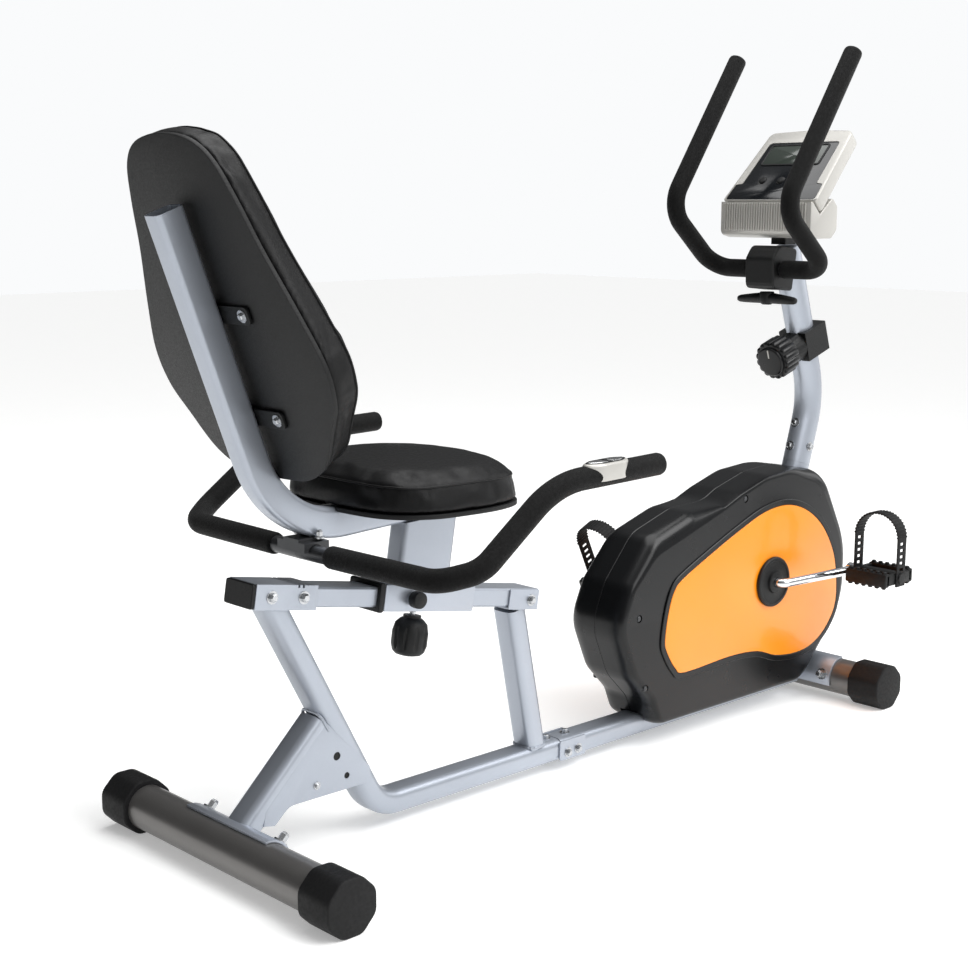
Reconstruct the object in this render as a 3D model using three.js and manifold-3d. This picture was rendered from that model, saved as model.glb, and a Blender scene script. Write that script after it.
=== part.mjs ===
// Recumbent magnetic exercise bike, in millimetres.
// +X runs forward to the pedals, +Y to the rider's left, +Z up. The floor is Z = 0, and X = 0 is
// the rear stabiliser's axis; the finished group is moved so that its middle is over the origin.
import * as THREE from "three";
import { mergeVertices } from "three/addons/utils/BufferGeometryUtils.js";
import Module from "manifold-3d";

const wasm = await Module();
wasm.setup();

// ---------------------------------------------------------------- driving dimensions
const gap = 0.3; // clearance kept between pieces that touch
const rad = THREE.MathUtils.degToRad;

const wheelbase = 1355; // rear stabiliser to front stabiliser
const stabiliser = { radius: 34, rearHalf: 281, frontHalf: 207 };
const cap = { radius: 41, length: 66, end: 8 };
const frameTube = { width: 48, depth: 38, corner: 14 }; // across Y, and in the side plane
const spineZ = 36;
const jointX = 655; // where the front frame bolts to the rear frame
const kneeX = 262.7; // where the falling rear tube meets the spine's line
const rearTopX = 71; // the falling rear tube's line where it passes the rail's underside
const rearTopZ = 395;

const rail = { length: 565, width: 60, height: 30, tilt: rad(9.6), x: 34, z: 406 };
const railHole = { radius: 5, pitch: 25, depth: 12 };
const pinStroke = 10; // travel of the locking pin, which is drawn out by that much here
const bracketWall = 3;
const rearBracketLength = 108;
const frontBracket = { start: rail.length - 68, length: 65 };
const railCapThickness = 6;

const carriage = { start: 232, length: 182, wall: 3, bush: 1.7, lip: 10, lipRise: 2 };
const post = { length: 105, width: 40, corner: 9 };
const seatTube = { width: 36, depth: 45, corner: 9, bend: 156, rise: rad(3) };
const seatTubeTop = [-71.4, 931.6];
const seatTubeCorner = [95.6, 480.9];
const seatTubeFront = 334; // from the corner to the front end

const bar = { radius: 12.5, foam: 4 }; // handlebar tube, and the foam on it
const barSides = 8; // faces round a handlebar and its foam
const seatBar = { x: 140, z: 452, bareHalf: 62 };
const seatCushion = { thickness: 66, base: 504, rear: 188, front: 472, half: 172 };
const backrest = { thickness: 58, standoff: 6, bottom: 488, top: 993 };

const shroud = { half: 60, wall: 3, panel: 2.5, edge: 16 };
const crankAxis = [1172, 252];
const crank = { length: 172, radius: 8.5, shaftHalf: 88, bossY: 122.5, angle: rad(2) };
const hubCover = { radius: 47, thickness: 7, bore: 11 };
const pedal = { length: 90, width: 88, height: 26, y: 180 };
const pedalLean = rad(25); // the left pedal hangs tipped back by this much
const strap = { width: 28, thickness: 3, height: 120 };
const pulley = { radius: 118, width: 12, y: 36 };
const beltThickness = 2.5;
const flywheel = { x: 905, z: 192, radius: 108, width: 26, y: -7, pulley: 18, axle: 6 };
const magnetGap = 3;

const mast = { width: 46, depth: 60, bend: 170, wall: 2.5 };
const mastFoot = [1194, 38];
const mastKnee = [1360, 580];
const mastTop = [1264, 862];
const mastJointZ = 452; // height of the seam between the front frame's stub and the mast
const upperBar = { x: 1212, z: 822, half: 127, bareHalf: 33 };
const tension = { along: 683, knobRadius: 37, knobLength: 46, reach: 104, ribs: 8 };
const consoleTilt = rad(45);
const consoleFoot = [1205, 945];
const consoleBody = { lower: 105, upper: 91, length: 178, depth: 30 };

// ---------------------------------------------------------------- materials
const finish = (color, roughness, metalness) =>
  new THREE.MeshStandardMaterial({ color, roughness, metalness });
const silver = finish(0xb4bac4, 0.38, 0.55);
const darkSteel = finish(0x6b6a68, 0.4, 0.6);
const chrome = finish(0xd8dadc, 0.12, 1.0);
const blackPlastic = finish(0x15161a, 0.45, 0.0);
const shroudPlastic = finish(0x1b1d26, 0.3, 0.0);
const rubber = finish(0x0e0e0f, 0.7, 0.0);
const foam = finish(0x121214, 0.8, 0.0);
const vinyl = finish(0x0f0f11, 0.42, 0.0);
const orange = finish(0xffae2b, 0.35, 0.0);
const castIron = finish(0x4a4b4e, 0.5, 0.8);
const consoleSilver = finish(0xb8b5b0, 0.4, 0.3);
const displayBlack = finish(0x101214, 0.15, 0.0);

// ---------------------------------------------------------------- shape helpers
// A closed geometry as a solid that can be joined and cut.
function solid(geometry) {
  const bare = geometry.clone();
  for (const name of Object.keys(bare.attributes)) {
    if (name !== "position") bare.deleteAttribute(name);
  }
  const merged = mergeVertices(bare, 1e-3);
  return new wasm.Manifold(
    new wasm.Mesh({
      numProp: 3,
      vertProperties: merged.attributes.position.array,
      triVerts: new Uint32Array(merged.index.array),
    }),
  );
}

function geometryOf(body) {
  const m = body.getMesh();
  const geometry = new THREE.BufferGeometry();
  geometry.setAttribute("position", new THREE.BufferAttribute(m.vertProperties, 3));
  geometry.setIndex(new THREE.BufferAttribute(m.triVerts, 1));
  geometry.computeVertexNormals();
  return geometry;
}

const union = (first, ...rest) => rest.reduce((a, b) => a.add(b), first);
const cut = (first, ...rest) => rest.reduce((a, b) => a.subtract(b), first);

function block(x0, x1, y0, y1, z0, z1) {
  const box = new THREE.BoxGeometry(x1 - x0, y1 - y0, z1 - z0);
  return solid(box.translate((x0 + x1) / 2, (y0 + y1) / 2, (z0 + z1) / 2));
}

const vec = ([x, y, z]) => new THREE.Vector3(x, y, z);

// A round bar from a to b; a different radius at b makes a cone.
function rodGeometry(a, b, radius, sides = 24, radiusB = radius) {
  const from = vec(a);
  const along = vec(b).sub(from);
  const length = along.length();
  const turn = new THREE.Quaternion().setFromUnitVectors(
    new THREE.Vector3(0, 1, 0),
    along.clone().normalize(),
  );
  return new THREE.CylinderGeometry(radiusB, radius, length, sides)
    .translate(0, length / 2, 0)
    .applyQuaternion(turn)
    .translate(...from.toArray());
}
const rod = (...args) => solid(rodGeometry(...args));

// A closed outline of rounded corners: each point is [x, y, radius].
function roundedShape(points, steps = 3) {
  const outline = [];
  points.forEach(([x, y, radius = 0], i) => {
    const before = points[(i + points.length - 1) % points.length];
    const after = points[(i + 1) % points.length];
    const corner = new THREE.Vector2(x, y);
    if (!radius) {
      outline.push(corner);
      return;
    }
    const u = new THREE.Vector2(before[0] - x, before[1] - y);
    const v = new THREE.Vector2(after[0] - x, after[1] - y);
    const reach = Math.min(u.length(), v.length()) * 0.49;
    const half = Math.abs(u.angleTo(v)) / 2;
    const back = Math.min(radius / Math.tan(half), reach);
    const start = corner.clone().addScaledVector(u.normalize(), back);
    const end = corner.clone().addScaledVector(v.normalize(), back);
    const curve = new THREE.QuadraticBezierCurve(start, corner, end);
    outline.push(...curve.getPoints(steps));
  });
  return new THREE.Shape(outline);
}

function rectangle(width, height, corner, steps = 3) {
  const w = width / 2;
  const h = height / 2;
  return roundedShape(
    [
      [-w, -h, corner],
      [w, -h, corner],
      [w, h, corner],
      [-w, h, corner],
    ],
    steps,
  );
}

function ellipse(width, height, sides = 20) {
  const shape = new THREE.Shape();
  shape.absellipse(0, 0, width / 2, height / 2, 0, Math.PI * 2);
  return new THREE.Shape(shape.getPoints(sides / 4).slice(0, -1));
}

const circle = (radius, sides = 12) => {
  const points = [];
  for (let i = 0; i < sides; i++) {
    const a = (i / sides) * Math.PI * 2;
    points.push(new THREE.Vector2(radius * Math.cos(a), radius * Math.sin(a)));
  }
  return points;
};

// A side outline in X and Z, from Y = y0 to Y = y1, with an optional bevelled edge all round.
function sidePlateGeometry(shape, y0, y1, bevel = 0, segments = 1) {
  const geometry = new THREE.ExtrudeGeometry(shape, {
    depth: y1 - y0 - 2 * bevel,
    bevelEnabled: bevel > 0,
    bevelThickness: bevel,
    bevelSize: bevel,
    bevelOffset: -bevel,
    bevelSegments: segments,
    curveSegments: 12,
  });
  return geometry.rotateX(Math.PI / 2).translate(0, y1 - bevel, 0);
}
const sidePlate = (...args) => solid(sidePlateGeometry(...args));

// A path of straight runs with rounded corners. Its stations are the ends of the runs and a few
// points round each corner, so a tube along it has no needless rings.
class BentPath extends THREE.Curve {
  constructor(points, bends, steps = 6) {
    super();
    this.stations = [];
    const corners = points.map(vec);
    const push = (at, along) => this.stations.push({ at, along: along.clone().normalize() });
    push(corners[0], corners[1].clone().sub(corners[0]));
    for (let i = 1; i < corners.length - 1; i++) {
      const here = corners[i];
      const u = corners[i - 1].clone().sub(here).normalize();
      const v = corners[i + 1].clone().sub(here).normalize();
      const half = u.angleTo(v) / 2;
      const back = bends[i - 1] / Math.tan(half);
      const middle = u.clone().add(v).normalize();
      const centre = here.clone().addScaledVector(middle, bends[i - 1] / Math.sin(half));
      const start = here.clone().addScaledVector(u, back).sub(centre);
      const end = here.clone().addScaledVector(v, back).sub(centre);
      const axis = start.clone().cross(end).normalize();
      const sweep = start.angleTo(end);
      for (let k = 0; k <= steps; k++) {
        const arm = start.clone().applyAxisAngle(axis, (sweep * k) / steps);
        push(arm.clone().add(centre), axis.clone().cross(arm));
      }
    }
    const last = corners.length - 1;
    push(corners[last], corners[last].clone().sub(corners[last - 1]));
  }

  get steps() {
    return this.stations.length - 1;
  }

  station(u) {
    return this.stations[Math.round(u * this.steps)];
  }

  getPointAt(u) {
    return this.station(u).at.clone();
  }

  getPoint(u) {
    return this.getPointAt(u);
  }

  getTangentAt(u) {
    return this.station(u).along.clone();
  }

  getSpacedPoints() {
    return this.stations.map((s) => s.at.clone());
  }
}

// A bar of one section along a bent path. In the side plane the section's first axis lies along Y.
function sweepGeometry(shape, points, bends = [], steps = 6) {
  const path = new BentPath(points, bends, steps);
  return new THREE.ExtrudeGeometry(shape, { steps: path.steps, extrudePath: path });
}
const sweep = (...args) => solid(sweepGeometry(...args));

function ringShape(outer, inner, sides) {
  const shape = new THREE.Shape(circle(outer, sides));
  shape.holes.push(new THREE.Path(circle(inner, sides)));
  return shape;
}

const side = (x, z, y = 0) => [x, y, z];

// ---------------------------------------------------------------- scene graph
const bike = new THREE.Group();

function add(name, shape, material, parent = bike) {
  const geometry = shape instanceof THREE.BufferGeometry ? shape : geometryOf(shape);
  const mesh = new THREE.Mesh(geometry, material);
  mesh.name = name;
  parent.add(mesh);
  return mesh;
}

// Local axes of the rail: X along it to the front, Z square to it, origin at its rear end.
const railGroup = new THREE.Group();
railGroup.position.set(rail.x, 0, rail.z);
railGroup.rotation.y = rail.tilt;
bike.add(railGroup);

// A solid given in bike axes, turned into the rail's own axes, and the other way round.
railGroup.updateMatrixWorld(true);
function move(geometry, matrix) {
  return geometry.clone().applyMatrix4(matrix);
}
const fromRail = (geometry) => solid(move(geometry, railGroup.matrixWorld));
const toRail = (geometry) => solid(move(geometry, railGroup.matrixWorld.clone().invert()));

const halfRail = rail.height / 2;
const bracketOuter = {
  width: rail.width + 2 * (gap + bracketWall),
  height: rail.height + 2 * (gap + bracketWall),
};

// ---------------------------------------------------------------- stabilisers
function stabilisers() {
  const ends = { rear: [0, stabiliser.rearHalf], front: [wheelbase, stabiliser.frontHalf] };
  for (const [place, [x, half]] of Object.entries(ends)) {
    const tubeHalf = half - cap.end - gap;
    add(
      place + "_stabiliser_tube",
      rodGeometry([x, -tubeHalf, cap.radius], [x, tubeHalf, cap.radius], stabiliser.radius, 24),
      silver,
    );
    for (const [hand, sign] of [
      ["left", 1],
      ["right", -1],
    ]) {
      add(place + "_stabiliser_cap_" + hand, capSolid(x, half, sign), rubber);
    }
  }
}

// An end cap with eight flats, so that it stands on one of them, open towards the tube.
function capSolid(x, half, sign) {
  const corners = [];
  for (let i = 0; i < 8; i++) {
    const a = rad(22.5 + 45 * i);
    const reach = cap.radius / Math.cos(rad(22.5));
    corners.push([x + reach * Math.cos(a), cap.radius + reach * Math.sin(a), 18]);
  }
  const y0 = Math.min(sign * half, sign * (half - cap.length));
  const body = sidePlate(roundedShape(corners, 2), y0, y0 + cap.length, 5, 1);
  const inner = sign * (half - cap.length - 1);
  const bottom = sign * (half - cap.end);
  const socket = stabiliser.radius + gap;
  return cut(body, rod([x, inner, cap.radius], [x, bottom, cap.radius], socket, 24));
}

// ---------------------------------------------------------------- rear frame
const frameSection = rectangle(frameTube.width, frameTube.depth, frameTube.corner);
const fatSection = rectangle(
  frameTube.width + 2 * gap,
  frameTube.depth + 2 * gap,
  frameTube.corner,
);
const kneePoint = side(kneeX, spineZ);
const rearTop = side(rearTopX, rearTopZ);
const spineEnd = side(jointX - 1, spineZ);
const spineBend = 65;

const rearTubeGeometry = (section) =>
  sweepGeometry(section, [rearTop, kneePoint, spineEnd], [spineBend], 7);
const fatRearTube = () => solid(rearTubeGeometry(fatSection));

// The space under the rail taken by its brackets, with the clearance on it.
function bracketSpace(start, length) {
  const g = new THREE.BoxGeometry(length + 2, bracketOuter.width + 20, 120);
  g.translate(start + length / 2, 0, 60 - halfRail - bracketWall - 2 * gap);
  return fromRail(g);
}

// Saddle plate that wraps the top and inner side of a stabiliser.
function saddlePlate(x, startAngle, endAngle, half) {
  const inner = stabiliser.radius + gap;
  const outer = inner + 4;
  const points = [];
  const steps = 9;
  for (let i = 0; i <= steps; i++) {
    const a = rad(startAngle + ((endAngle - startAngle) * i) / steps);
    points.push(new THREE.Vector2(x + outer * Math.cos(a), cap.radius + outer * Math.sin(a)));
  }
  for (let i = steps; i >= 0; i--) {
    const a = rad(startAngle + ((endAngle - startAngle) * i) / steps);
    points.push(new THREE.Vector2(x + inner * Math.cos(a), cap.radius + inner * Math.sin(a)));
  }
  return sidePlate(new THREE.Shape(points), -half, half);
}

const legStart = [27, 67];
const legAlong = [0.7208, 0.6931];
const legLength = 200;

// The rear leg, its saddle plate and the two gusset plates are welded into one piece.
function rearLeg() {
  const [x, z] = legStart;
  const end = [x + legAlong[0] * legLength, z + legAlong[1] * legLength];
  const leg = sweep(frameSection, [side(x - 4, z - 4), side(...end)]);
  const outline = roundedShape([
    [160, 195],
    [48, 87],
    [44, 66],
    [64, 62, 6],
    [90, 85, 26],
    [240, 85],
    [240, 110],
  ]);
  const plateHalf = frameTube.width / 2;
  const plates = [-1, 1].map((sign) => {
    const y0 = sign > 0 ? plateHalf - 4 : -plateHalf;
    return sidePlate(outline, y0, y0 + 4);
  });
  const holes = [
    [178, 140, 6.5],
    [196, 106, 5],
  ].map(([hx, hz, r]) => rod([hx, -40, hz], [hx, 40, hz], r, 16));
  const saddle = saddlePlate(0, -6, 98, 98);
  const tube = rod([0, -120, cap.radius], [0, 120, cap.radius], stabiliser.radius + gap, 24);
  const beyond = sidePlate(
    new THREE.Shape([
      new THREE.Vector2(kneeX + 6, spineZ),
      new THREE.Vector2(rearTopX + 6, rearTopZ),
      new THREE.Vector2(rearTopX + 200, rearTopZ),
      new THREE.Vector2(kneeX + 200, spineZ),
    ]),
    -40,
    40,
  );
  const shaft = union(leg, ...plates, saddle);
  add("rear_leg", cut(shaft, ...holes, tube, fatRearTube(), beyond), silver);
}

function rearFrame() {
  const tube = solid(rearTubeGeometry(frameSection));
  add("rear_frame_tube", cut(tube, bracketSpace(-10, rearBracketLength + 12)), silver);
  rearLeg();

  const postBottom = side(606, 40);
  const underBracket = new THREE.Vector3(frontBracket.start + 26, 0, 0);
  const postTop = underBracket.applyMatrix4(railGroup.matrixWorld).toArray();
  const support = sweep(frameSection, [postBottom, postTop]);
  add(
    "seat_support_post",
    cut(support, fatRearTube(), bracketSpace(frontBracket.start, frontBracket.length)),
    silver,
  );
}

// ---------------------------------------------------------------- rail
const holeCount = 8;
const pinX = carriage.start + carriage.length / 2;
const clampX = carriage.start + 53; // where the side clamp screw enters the sleeve

function railParts() {
  const section = rectangle(rail.width, rail.height, 3, 1);
  const barGeometry = new THREE.ExtrudeGeometry(section, { depth: rail.length, bevelEnabled: false });
  barGeometry.rotateX(Math.PI / 2).rotateZ(Math.PI / 2);
  let body = solid(barGeometry);
  for (let i = 0; i < holeCount; i++) {
    const x = pinX + (i - 4) * railHole.pitch;
    const top = -halfRail + railHole.depth;
    body = cut(body, rod([x, 0, -halfRail - 2], [x, 0, top], railHole.radius, 12));
  }
  add("seat_rail", body, silver, railGroup);

  const w = bracketOuter.width / 2;
  const h = bracketOuter.height / 2;
  const clearW = rail.width / 2 + gap;
  const clearH = halfRail + gap;
  const notch = (x) => block(x, x + 3, -w - 1, w + 1, clearH - 1, h + 1);
  const rear = cut(
    block(0, rearBracketLength, -w, w, -h, h),
    block(-1, rearBracketLength + 1, -clearW, clearW, -clearH, clearH),
    notch(72),
    notch(80),
  );
  add("rail_rear_bracket", rear, silver, railGroup);

  const { start, length } = frontBracket;
  const front = cut(
    block(start, start + length, -w, w, -h, halfRail - 1),
    block(start - 1, start + length + 1, -clearW, clearW, -clearH, h + 1),
  );
  add("rail_front_bracket", front, silver, railGroup);

  const capShape = rectangle(bracketOuter.width - 1, bracketOuter.height - 1, 4, 2);
  const capGeometry = new THREE.ExtrudeGeometry(capShape, {
    depth: railCapThickness - 1.5,
    bevelEnabled: true,
    bevelThickness: 0.75,
    bevelSize: 0.75,
    bevelOffset: -0.75,
    bevelSegments: 1,
  });
  capGeometry.rotateX(Math.PI / 2).rotateZ(Math.PI / 2);
  capGeometry.translate(-railCapThickness - gap + 0.75, 0, 0);
  add("rail_end_cap", capGeometry, blackPlastic, railGroup);
}

// ---------------------------------------------------------------- seat frame
const seatRun = [Math.cos(seatTube.rise), Math.sin(seatTube.rise)];
const seatTubeEnd = [
  seatTubeCorner[0] + seatRun[0] * seatTubeFront,
  seatTubeCorner[1] + seatRun[1] * seatTubeFront,
];
const seatTubePoints = [side(...seatTubeTop), side(...seatTubeCorner), side(...seatTubeEnd)];
const seatTubeGeometry = (margin) =>
  sweepGeometry(
    rectangle(seatTube.width + 2 * margin, seatTube.depth + 2 * margin, seatTube.corner),
    seatTubePoints,
    [seatTube.bend],
    9,
  );

// Height of the seat tube's flat top face above a point on its front run.
const seatTopZ = (x) =>
  seatTubeCorner[1] + Math.tan(seatTube.rise) * (x - seatTubeCorner[0]) + seatTube.depth / 2;

// Unit vectors of the backrest: up along the tube, and square to it towards the rider.
const backUp = vec(side(...seatTubeTop)).sub(vec(side(...seatTubeCorner))).normalize();
const backOut = new THREE.Vector3(backUp.z, 0, -backUp.x);
const backOffset = vec(side(...seatTubeTop)).dot(backOut) + seatTube.depth / 2;

// Places a geometry drawn with X across, Y up the backrest and Z towards the rider.
function onBack(geometry, up, out) {
  const origin = backUp.clone().multiplyScalar(up).addScaledVector(backOut, backOffset + out);
  const matrix = new THREE.Matrix4().makeBasis(new THREE.Vector3(0, 1, 0), backUp, backOut);
  return geometry.applyMatrix4(matrix.setPosition(origin));
}

function carriageParts() {
  const { start, length, wall, bush, lip, lipRise } = carriage;
  const bushHalfW = rail.width / 2 + gap;
  const bushHalfH = halfRail + gap;
  const innerW = bushHalfW + bush + gap;
  const innerH = bushHalfH + bush + gap;
  const outerW = innerW + wall;
  const outerH = innerH + wall;
  const sleeve = block(start, start + length, -outerW, outerW, -outerH, outerH);

  const postCentre = pinX;
  const postShape = rectangle(post.width, post.length, post.corner, 2);
  const postBody = new THREE.ExtrudeGeometry(postShape, { depth: 140, bevelEnabled: false });
  postBody.rotateZ(Math.PI / 2).translate(postCentre, 0, outerH - 1);
  const nut = rod([clampX, -outerW - 4, 0], [clampX, -outerW + 1, 0], 8, 16);
  const above = new THREE.BoxGeometry(700, 120, 300);
  above.translate(0, 0, 150 - gap).rotateY(-seatTube.rise);
  above.translate(350, 0, seatTopZ(350) - seatTube.depth / Math.cos(seatTube.rise));
  const body = cut(
    union(sleeve, solid(postBody), nut),
    block(start - 1, start + length + 1, -innerW, innerW, -innerH, innerH),
    rod([pinX, 0, -outerH - 20], [pinX, 0, 0], railHole.radius, 12),
    rod([clampX, -outerW - 10, 0], [clampX, 0, 0], 4.5, 12),
    toRail(above),
  );
  add("seat_carriage", body, silver, railGroup);

  const lipEnd = start - gap;
  const bushBody = cut(
    union(
      block(start - 1, start + length - 6, -innerW + gap, innerW - gap, -innerH + gap, innerH - gap),
      block(lipEnd - lip, lipEnd, -outerW - lipRise, outerW + lipRise, -outerH - lipRise, outerH + lipRise),
    ),
    block(start - 40, start + length + 1, -bushHalfW, bushHalfW, -bushHalfH, bushHalfH),
    rod([pinX, 0, -outerH - 20], [pinX, 0, 0], railHole.radius, 12),
    rod([clampX, -outerW - 10, 0], [clampX, 0, 0], 4.5, 12),
  );
  add("carriage_bush", bushBody, blackPlastic, railGroup);

  knobs(outerW, outerH);
}

function knobs(outerW, outerH) {
  const top = -outerH - pinStroke - 1.5;
  const grip = [
    [0, -63],
    [14, -63],
    [24, -57],
    [28, -43],
    [28, -23],
    [24, -9],
    [13, -4],
    [13, 0],
    [0, 0],
  ].map(([r, z]) => new THREE.Vector2(r, top + z));
  const gripBody = solid(new THREE.LatheGeometry(grip, 18).rotateX(Math.PI / 2));
  const flutes = [];
  for (let i = 0; i < 6; i++) {
    const a = (i / 6) * Math.PI * 2;
    const x = pinX + 31 * Math.cos(a);
    const y = 31 * Math.sin(a);
    flutes.push(rod([x, y, top - 55], [x, y, top - 13], 6, 6));
  }
  const placed = solid(geometryOf(gripBody).translate(pinX, 0, 0));
  const pin = rod([pinX, 0, top - 5], [pinX, 0, -halfRail - gap], railHole.radius - gap, 12);
  add("pop_pin_knob", union(cut(placed, ...flutes), pin), blackPlastic, railGroup);

  const x = clampX;
  const face = -outerW - 4 - gap;
  const disc = rod([x, face - 17, 0], [x, face, 0], 13, 20, 11);
  const screw = rod([x, face - 1, 0], [x, -rail.width / 2 - gap, 0], 4, 12);
  add("carriage_clamp_knob", union(disc, screw), blackPlastic, railGroup);
}

// The two ends of the straight run that the hand holds beside the seat.
const seatGrip = { rear: [332, 318, 566], front: [540, 319, 571] };
const barPath = (sign) => {
  const s = (x, y, z) => [x, sign * y, z];
  return {
    points: [
      s(seatBar.x, 0, seatBar.z),
      s(seatBar.x + 6, 284, seatBar.z),
      s(192, 320, 466),
      s(...seatGrip.rear),
      s(...seatGrip.front),
    ],
    bends: [50, 55, 170],
  };
};

function mirrorY(body) {
  const g = geometryOf(body);
  const p = g.getAttribute("position");
  for (let i = 0; i < p.count; i++) p.setY(i, -p.getY(i));
  const index = g.getIndex().array;
  for (let i = 0; i < index.length; i += 3) {
    [index[i + 1], index[i + 2]] = [index[i + 2], index[i + 1]];
  }
  return solid(g);
}

// The closed end of a foam grip, past the end of its tube.
function foamTip(points) {
  const [before, last] = points.slice(-2).map(vec);
  const along = last.clone().sub(before).normalize();
  const at = (d) => last.clone().addScaledVector(along, d).toArray();
  const outer = bar.radius + bar.foam;
  const tip = rod(at(-1), at(6), outer, barSides, outer - 3);
  return cut(tip, rod(at(-20), at(gap), bar.radius + 1, 16));
}

function seatHandlebar() {
  const { points, bends } = barPath(1);
  const section = new THREE.Shape(circle(bar.radius, barSides));
  const half = sweep(section, [[points[0][0], -1, points[0][2]], ...points.slice(1)], bends, 3);
  const tube = union(half, mirrorY(half));
  add("seat_handlebar_tube", tube, darkSteel);

  const outer = bar.radius + bar.foam;
  const foamBody = sweep(ringShape(outer, bar.radius + gap, barSides), points, bends, 3);
  const trimmed = cut(foamBody, block(0, 300, -10, seatBar.bareHalf, 380, 520));
  const sensor = pulseSensor(1);
  const grip = union(trimmed, foamTip(points));
  for (const [hand, flip] of [
    ["left", false],
    ["right", true],
  ]) {
    add("seat_grip_" + hand, flip ? mirrorY(grip) : grip, foam);
    add("pulse_sensor_" + hand, flip ? mirrorY(sensor) : sensor, consoleSilver);
  }

  const clampTop = seatBar.z + bar.radius;
  const clampBody = cut(
    block(seatBar.x - 20, seatBar.x + 24, -32, 32, seatBar.z, clampTop + 24),
    rod([seatBar.x, -80, seatBar.z], [seatBar.x, 80, seatBar.z], bar.radius + 1.2, 16),
    block(seatBar.x - 30, seatBar.x + 40, -40, 40, seatBar.z - 20, seatBar.z + 3),
    solid(seatTubeGeometry(gap)),
    block(seatBar.x - 30, seatBar.x + 40, -40, -seatTube.width / 2 - 0.1, clampTop + 4, 540),
    block(seatBar.x - 30, seatBar.x + 40, seatTube.width / 2 + 0.1, 40, clampTop + 4, 540),
    block(seatBar.x - 30, seatBar.x + 40, -40, 40, clampTop + 8, 540),
  );
  add("seat_handlebar_clamp", clampBody, darkSteel);
}

// Saddle-shaped sensor housing on top of the grip, near its front end.
function pulseSensor(sign) {
  const shape = roundedShape(
    [
      [-50, 0, 12],
      [-20, -17, 30],
      [25, -17, 30],
      [50, 0, 12],
      [25, 17, 30],
      [-20, 17, 30],
    ],
    3,
  );
  const geometry = new THREE.ExtrudeGeometry(shape, {
    depth: 17,
    bevelEnabled: true,
    bevelThickness: 3,
    bevelSize: 3,
    bevelOffset: -3,
    bevelSegments: 1,
  });
  const [from, to] = [seatGrip.rear, seatGrip.front].map(([x, y, z]) => vec([x, sign * y, z]));
  const slope = Math.atan2(to.z - from.z, to.x - from.x);
  const middle = from.clone().lerp(to, 0.47);
  geometry.rotateY(-slope).translate(middle.x, middle.y, middle.z);
  const grip = rod(from.toArray(), to.toArray(), bar.radius + bar.foam + gap, 20);
  const below = block(300, 600, sign * 318 - 60, sign * 318 + 60, 400, middle.z - 8);
  return cut(solid(geometry), grip, below);
}

function seatParts() {
  const frame = solid(seatTubeGeometry(0));
  const mouthShape = rectangle(seatTube.width - 5, seatTube.depth - 5, seatTube.corner - 2);
  const top = vec(side(...seatTubeTop));
  const mouth = sweep(mouthShape, [
    top.clone().addScaledVector(backUp, 5).toArray(),
    top.clone().addScaledVector(backUp, -40).toArray(),
  ]);
  add("seat_frame_tube", cut(frame, mouth), silver);

  add("seat_base_plate", seatFramePlate(0), darkSteel);
  add("seat_cushion", seatCushionBody(), vinyl);
  add("backrest_cushion", backrestGeometry(), vinyl);
  for (const [name, up] of [
    ["upper", 744],
    ["lower", 592],
  ]) {
    const depth = backrest.standoff - 2 * gap;
    const plate = new THREE.BoxGeometry(150, 26, depth);
    add("backrest_bracket_" + name, onBack(plate, up, backrest.standoff / 2), blackPlastic);
  }
}

// The seat is broad behind and rounds off to its front; its skirt hangs a little over the tube.
function seatCushionBody() {
  const { rear, front, half, thickness, base } = seatCushion;
  const right = [
    [rear, -60],
    [rear + 17, -half + 50],
    [rear + 62, -half + 12],
    [rear + 122, -half],
    [front - 97, -half],
    [front - 47, -half + 20],
    [front - 17, -half + 67],
    [front - 3, -50],
    [front, -1],
  ];
  const left = right.map(([x, y]) => [x, -y]).reverse();
  const curve = new THREE.SplineCurve([...right, ...left].map(([x, y]) => new THREE.Vector2(x, y)));
  const shape = new THREE.Shape(curve.getPoints(32));
  const bevel = 16;
  const geometry = new THREE.ExtrudeGeometry(shape, {
    depth: thickness - 2 * bevel,
    bevelEnabled: true,
    bevelThickness: bevel,
    bevelSize: bevel * 0.7,
    bevelOffset: -bevel * 0.7,
    bevelSegments: 2,
  });
  geometry.translate(0, 0, base + bevel);
  const channelHalf = seatTube.width / 2 + 1;
  const run = seatFramePlate(gap);
  return cut(
    solid(geometry),
    solid(seatTubeGeometry(1)),
    run,
    block(rear - 20, front + 20, -channelHalf, channelHalf, base - 10, seatTopZ(rear + 20)),
  );
}

// The steel plate under the cushion, lying on the tube, with a margin all round.
function seatFramePlate(margin) {
  const plate = new THREE.BoxGeometry(210 + 2 * margin, 220 + 2 * margin, 4 + 2 * margin);
  const plateX = 318;
  plate.rotateY(-seatTube.rise).translate(plateX, 0, seatTopZ(plateX) + 2 + gap);
  return solid(plate);
}

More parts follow.
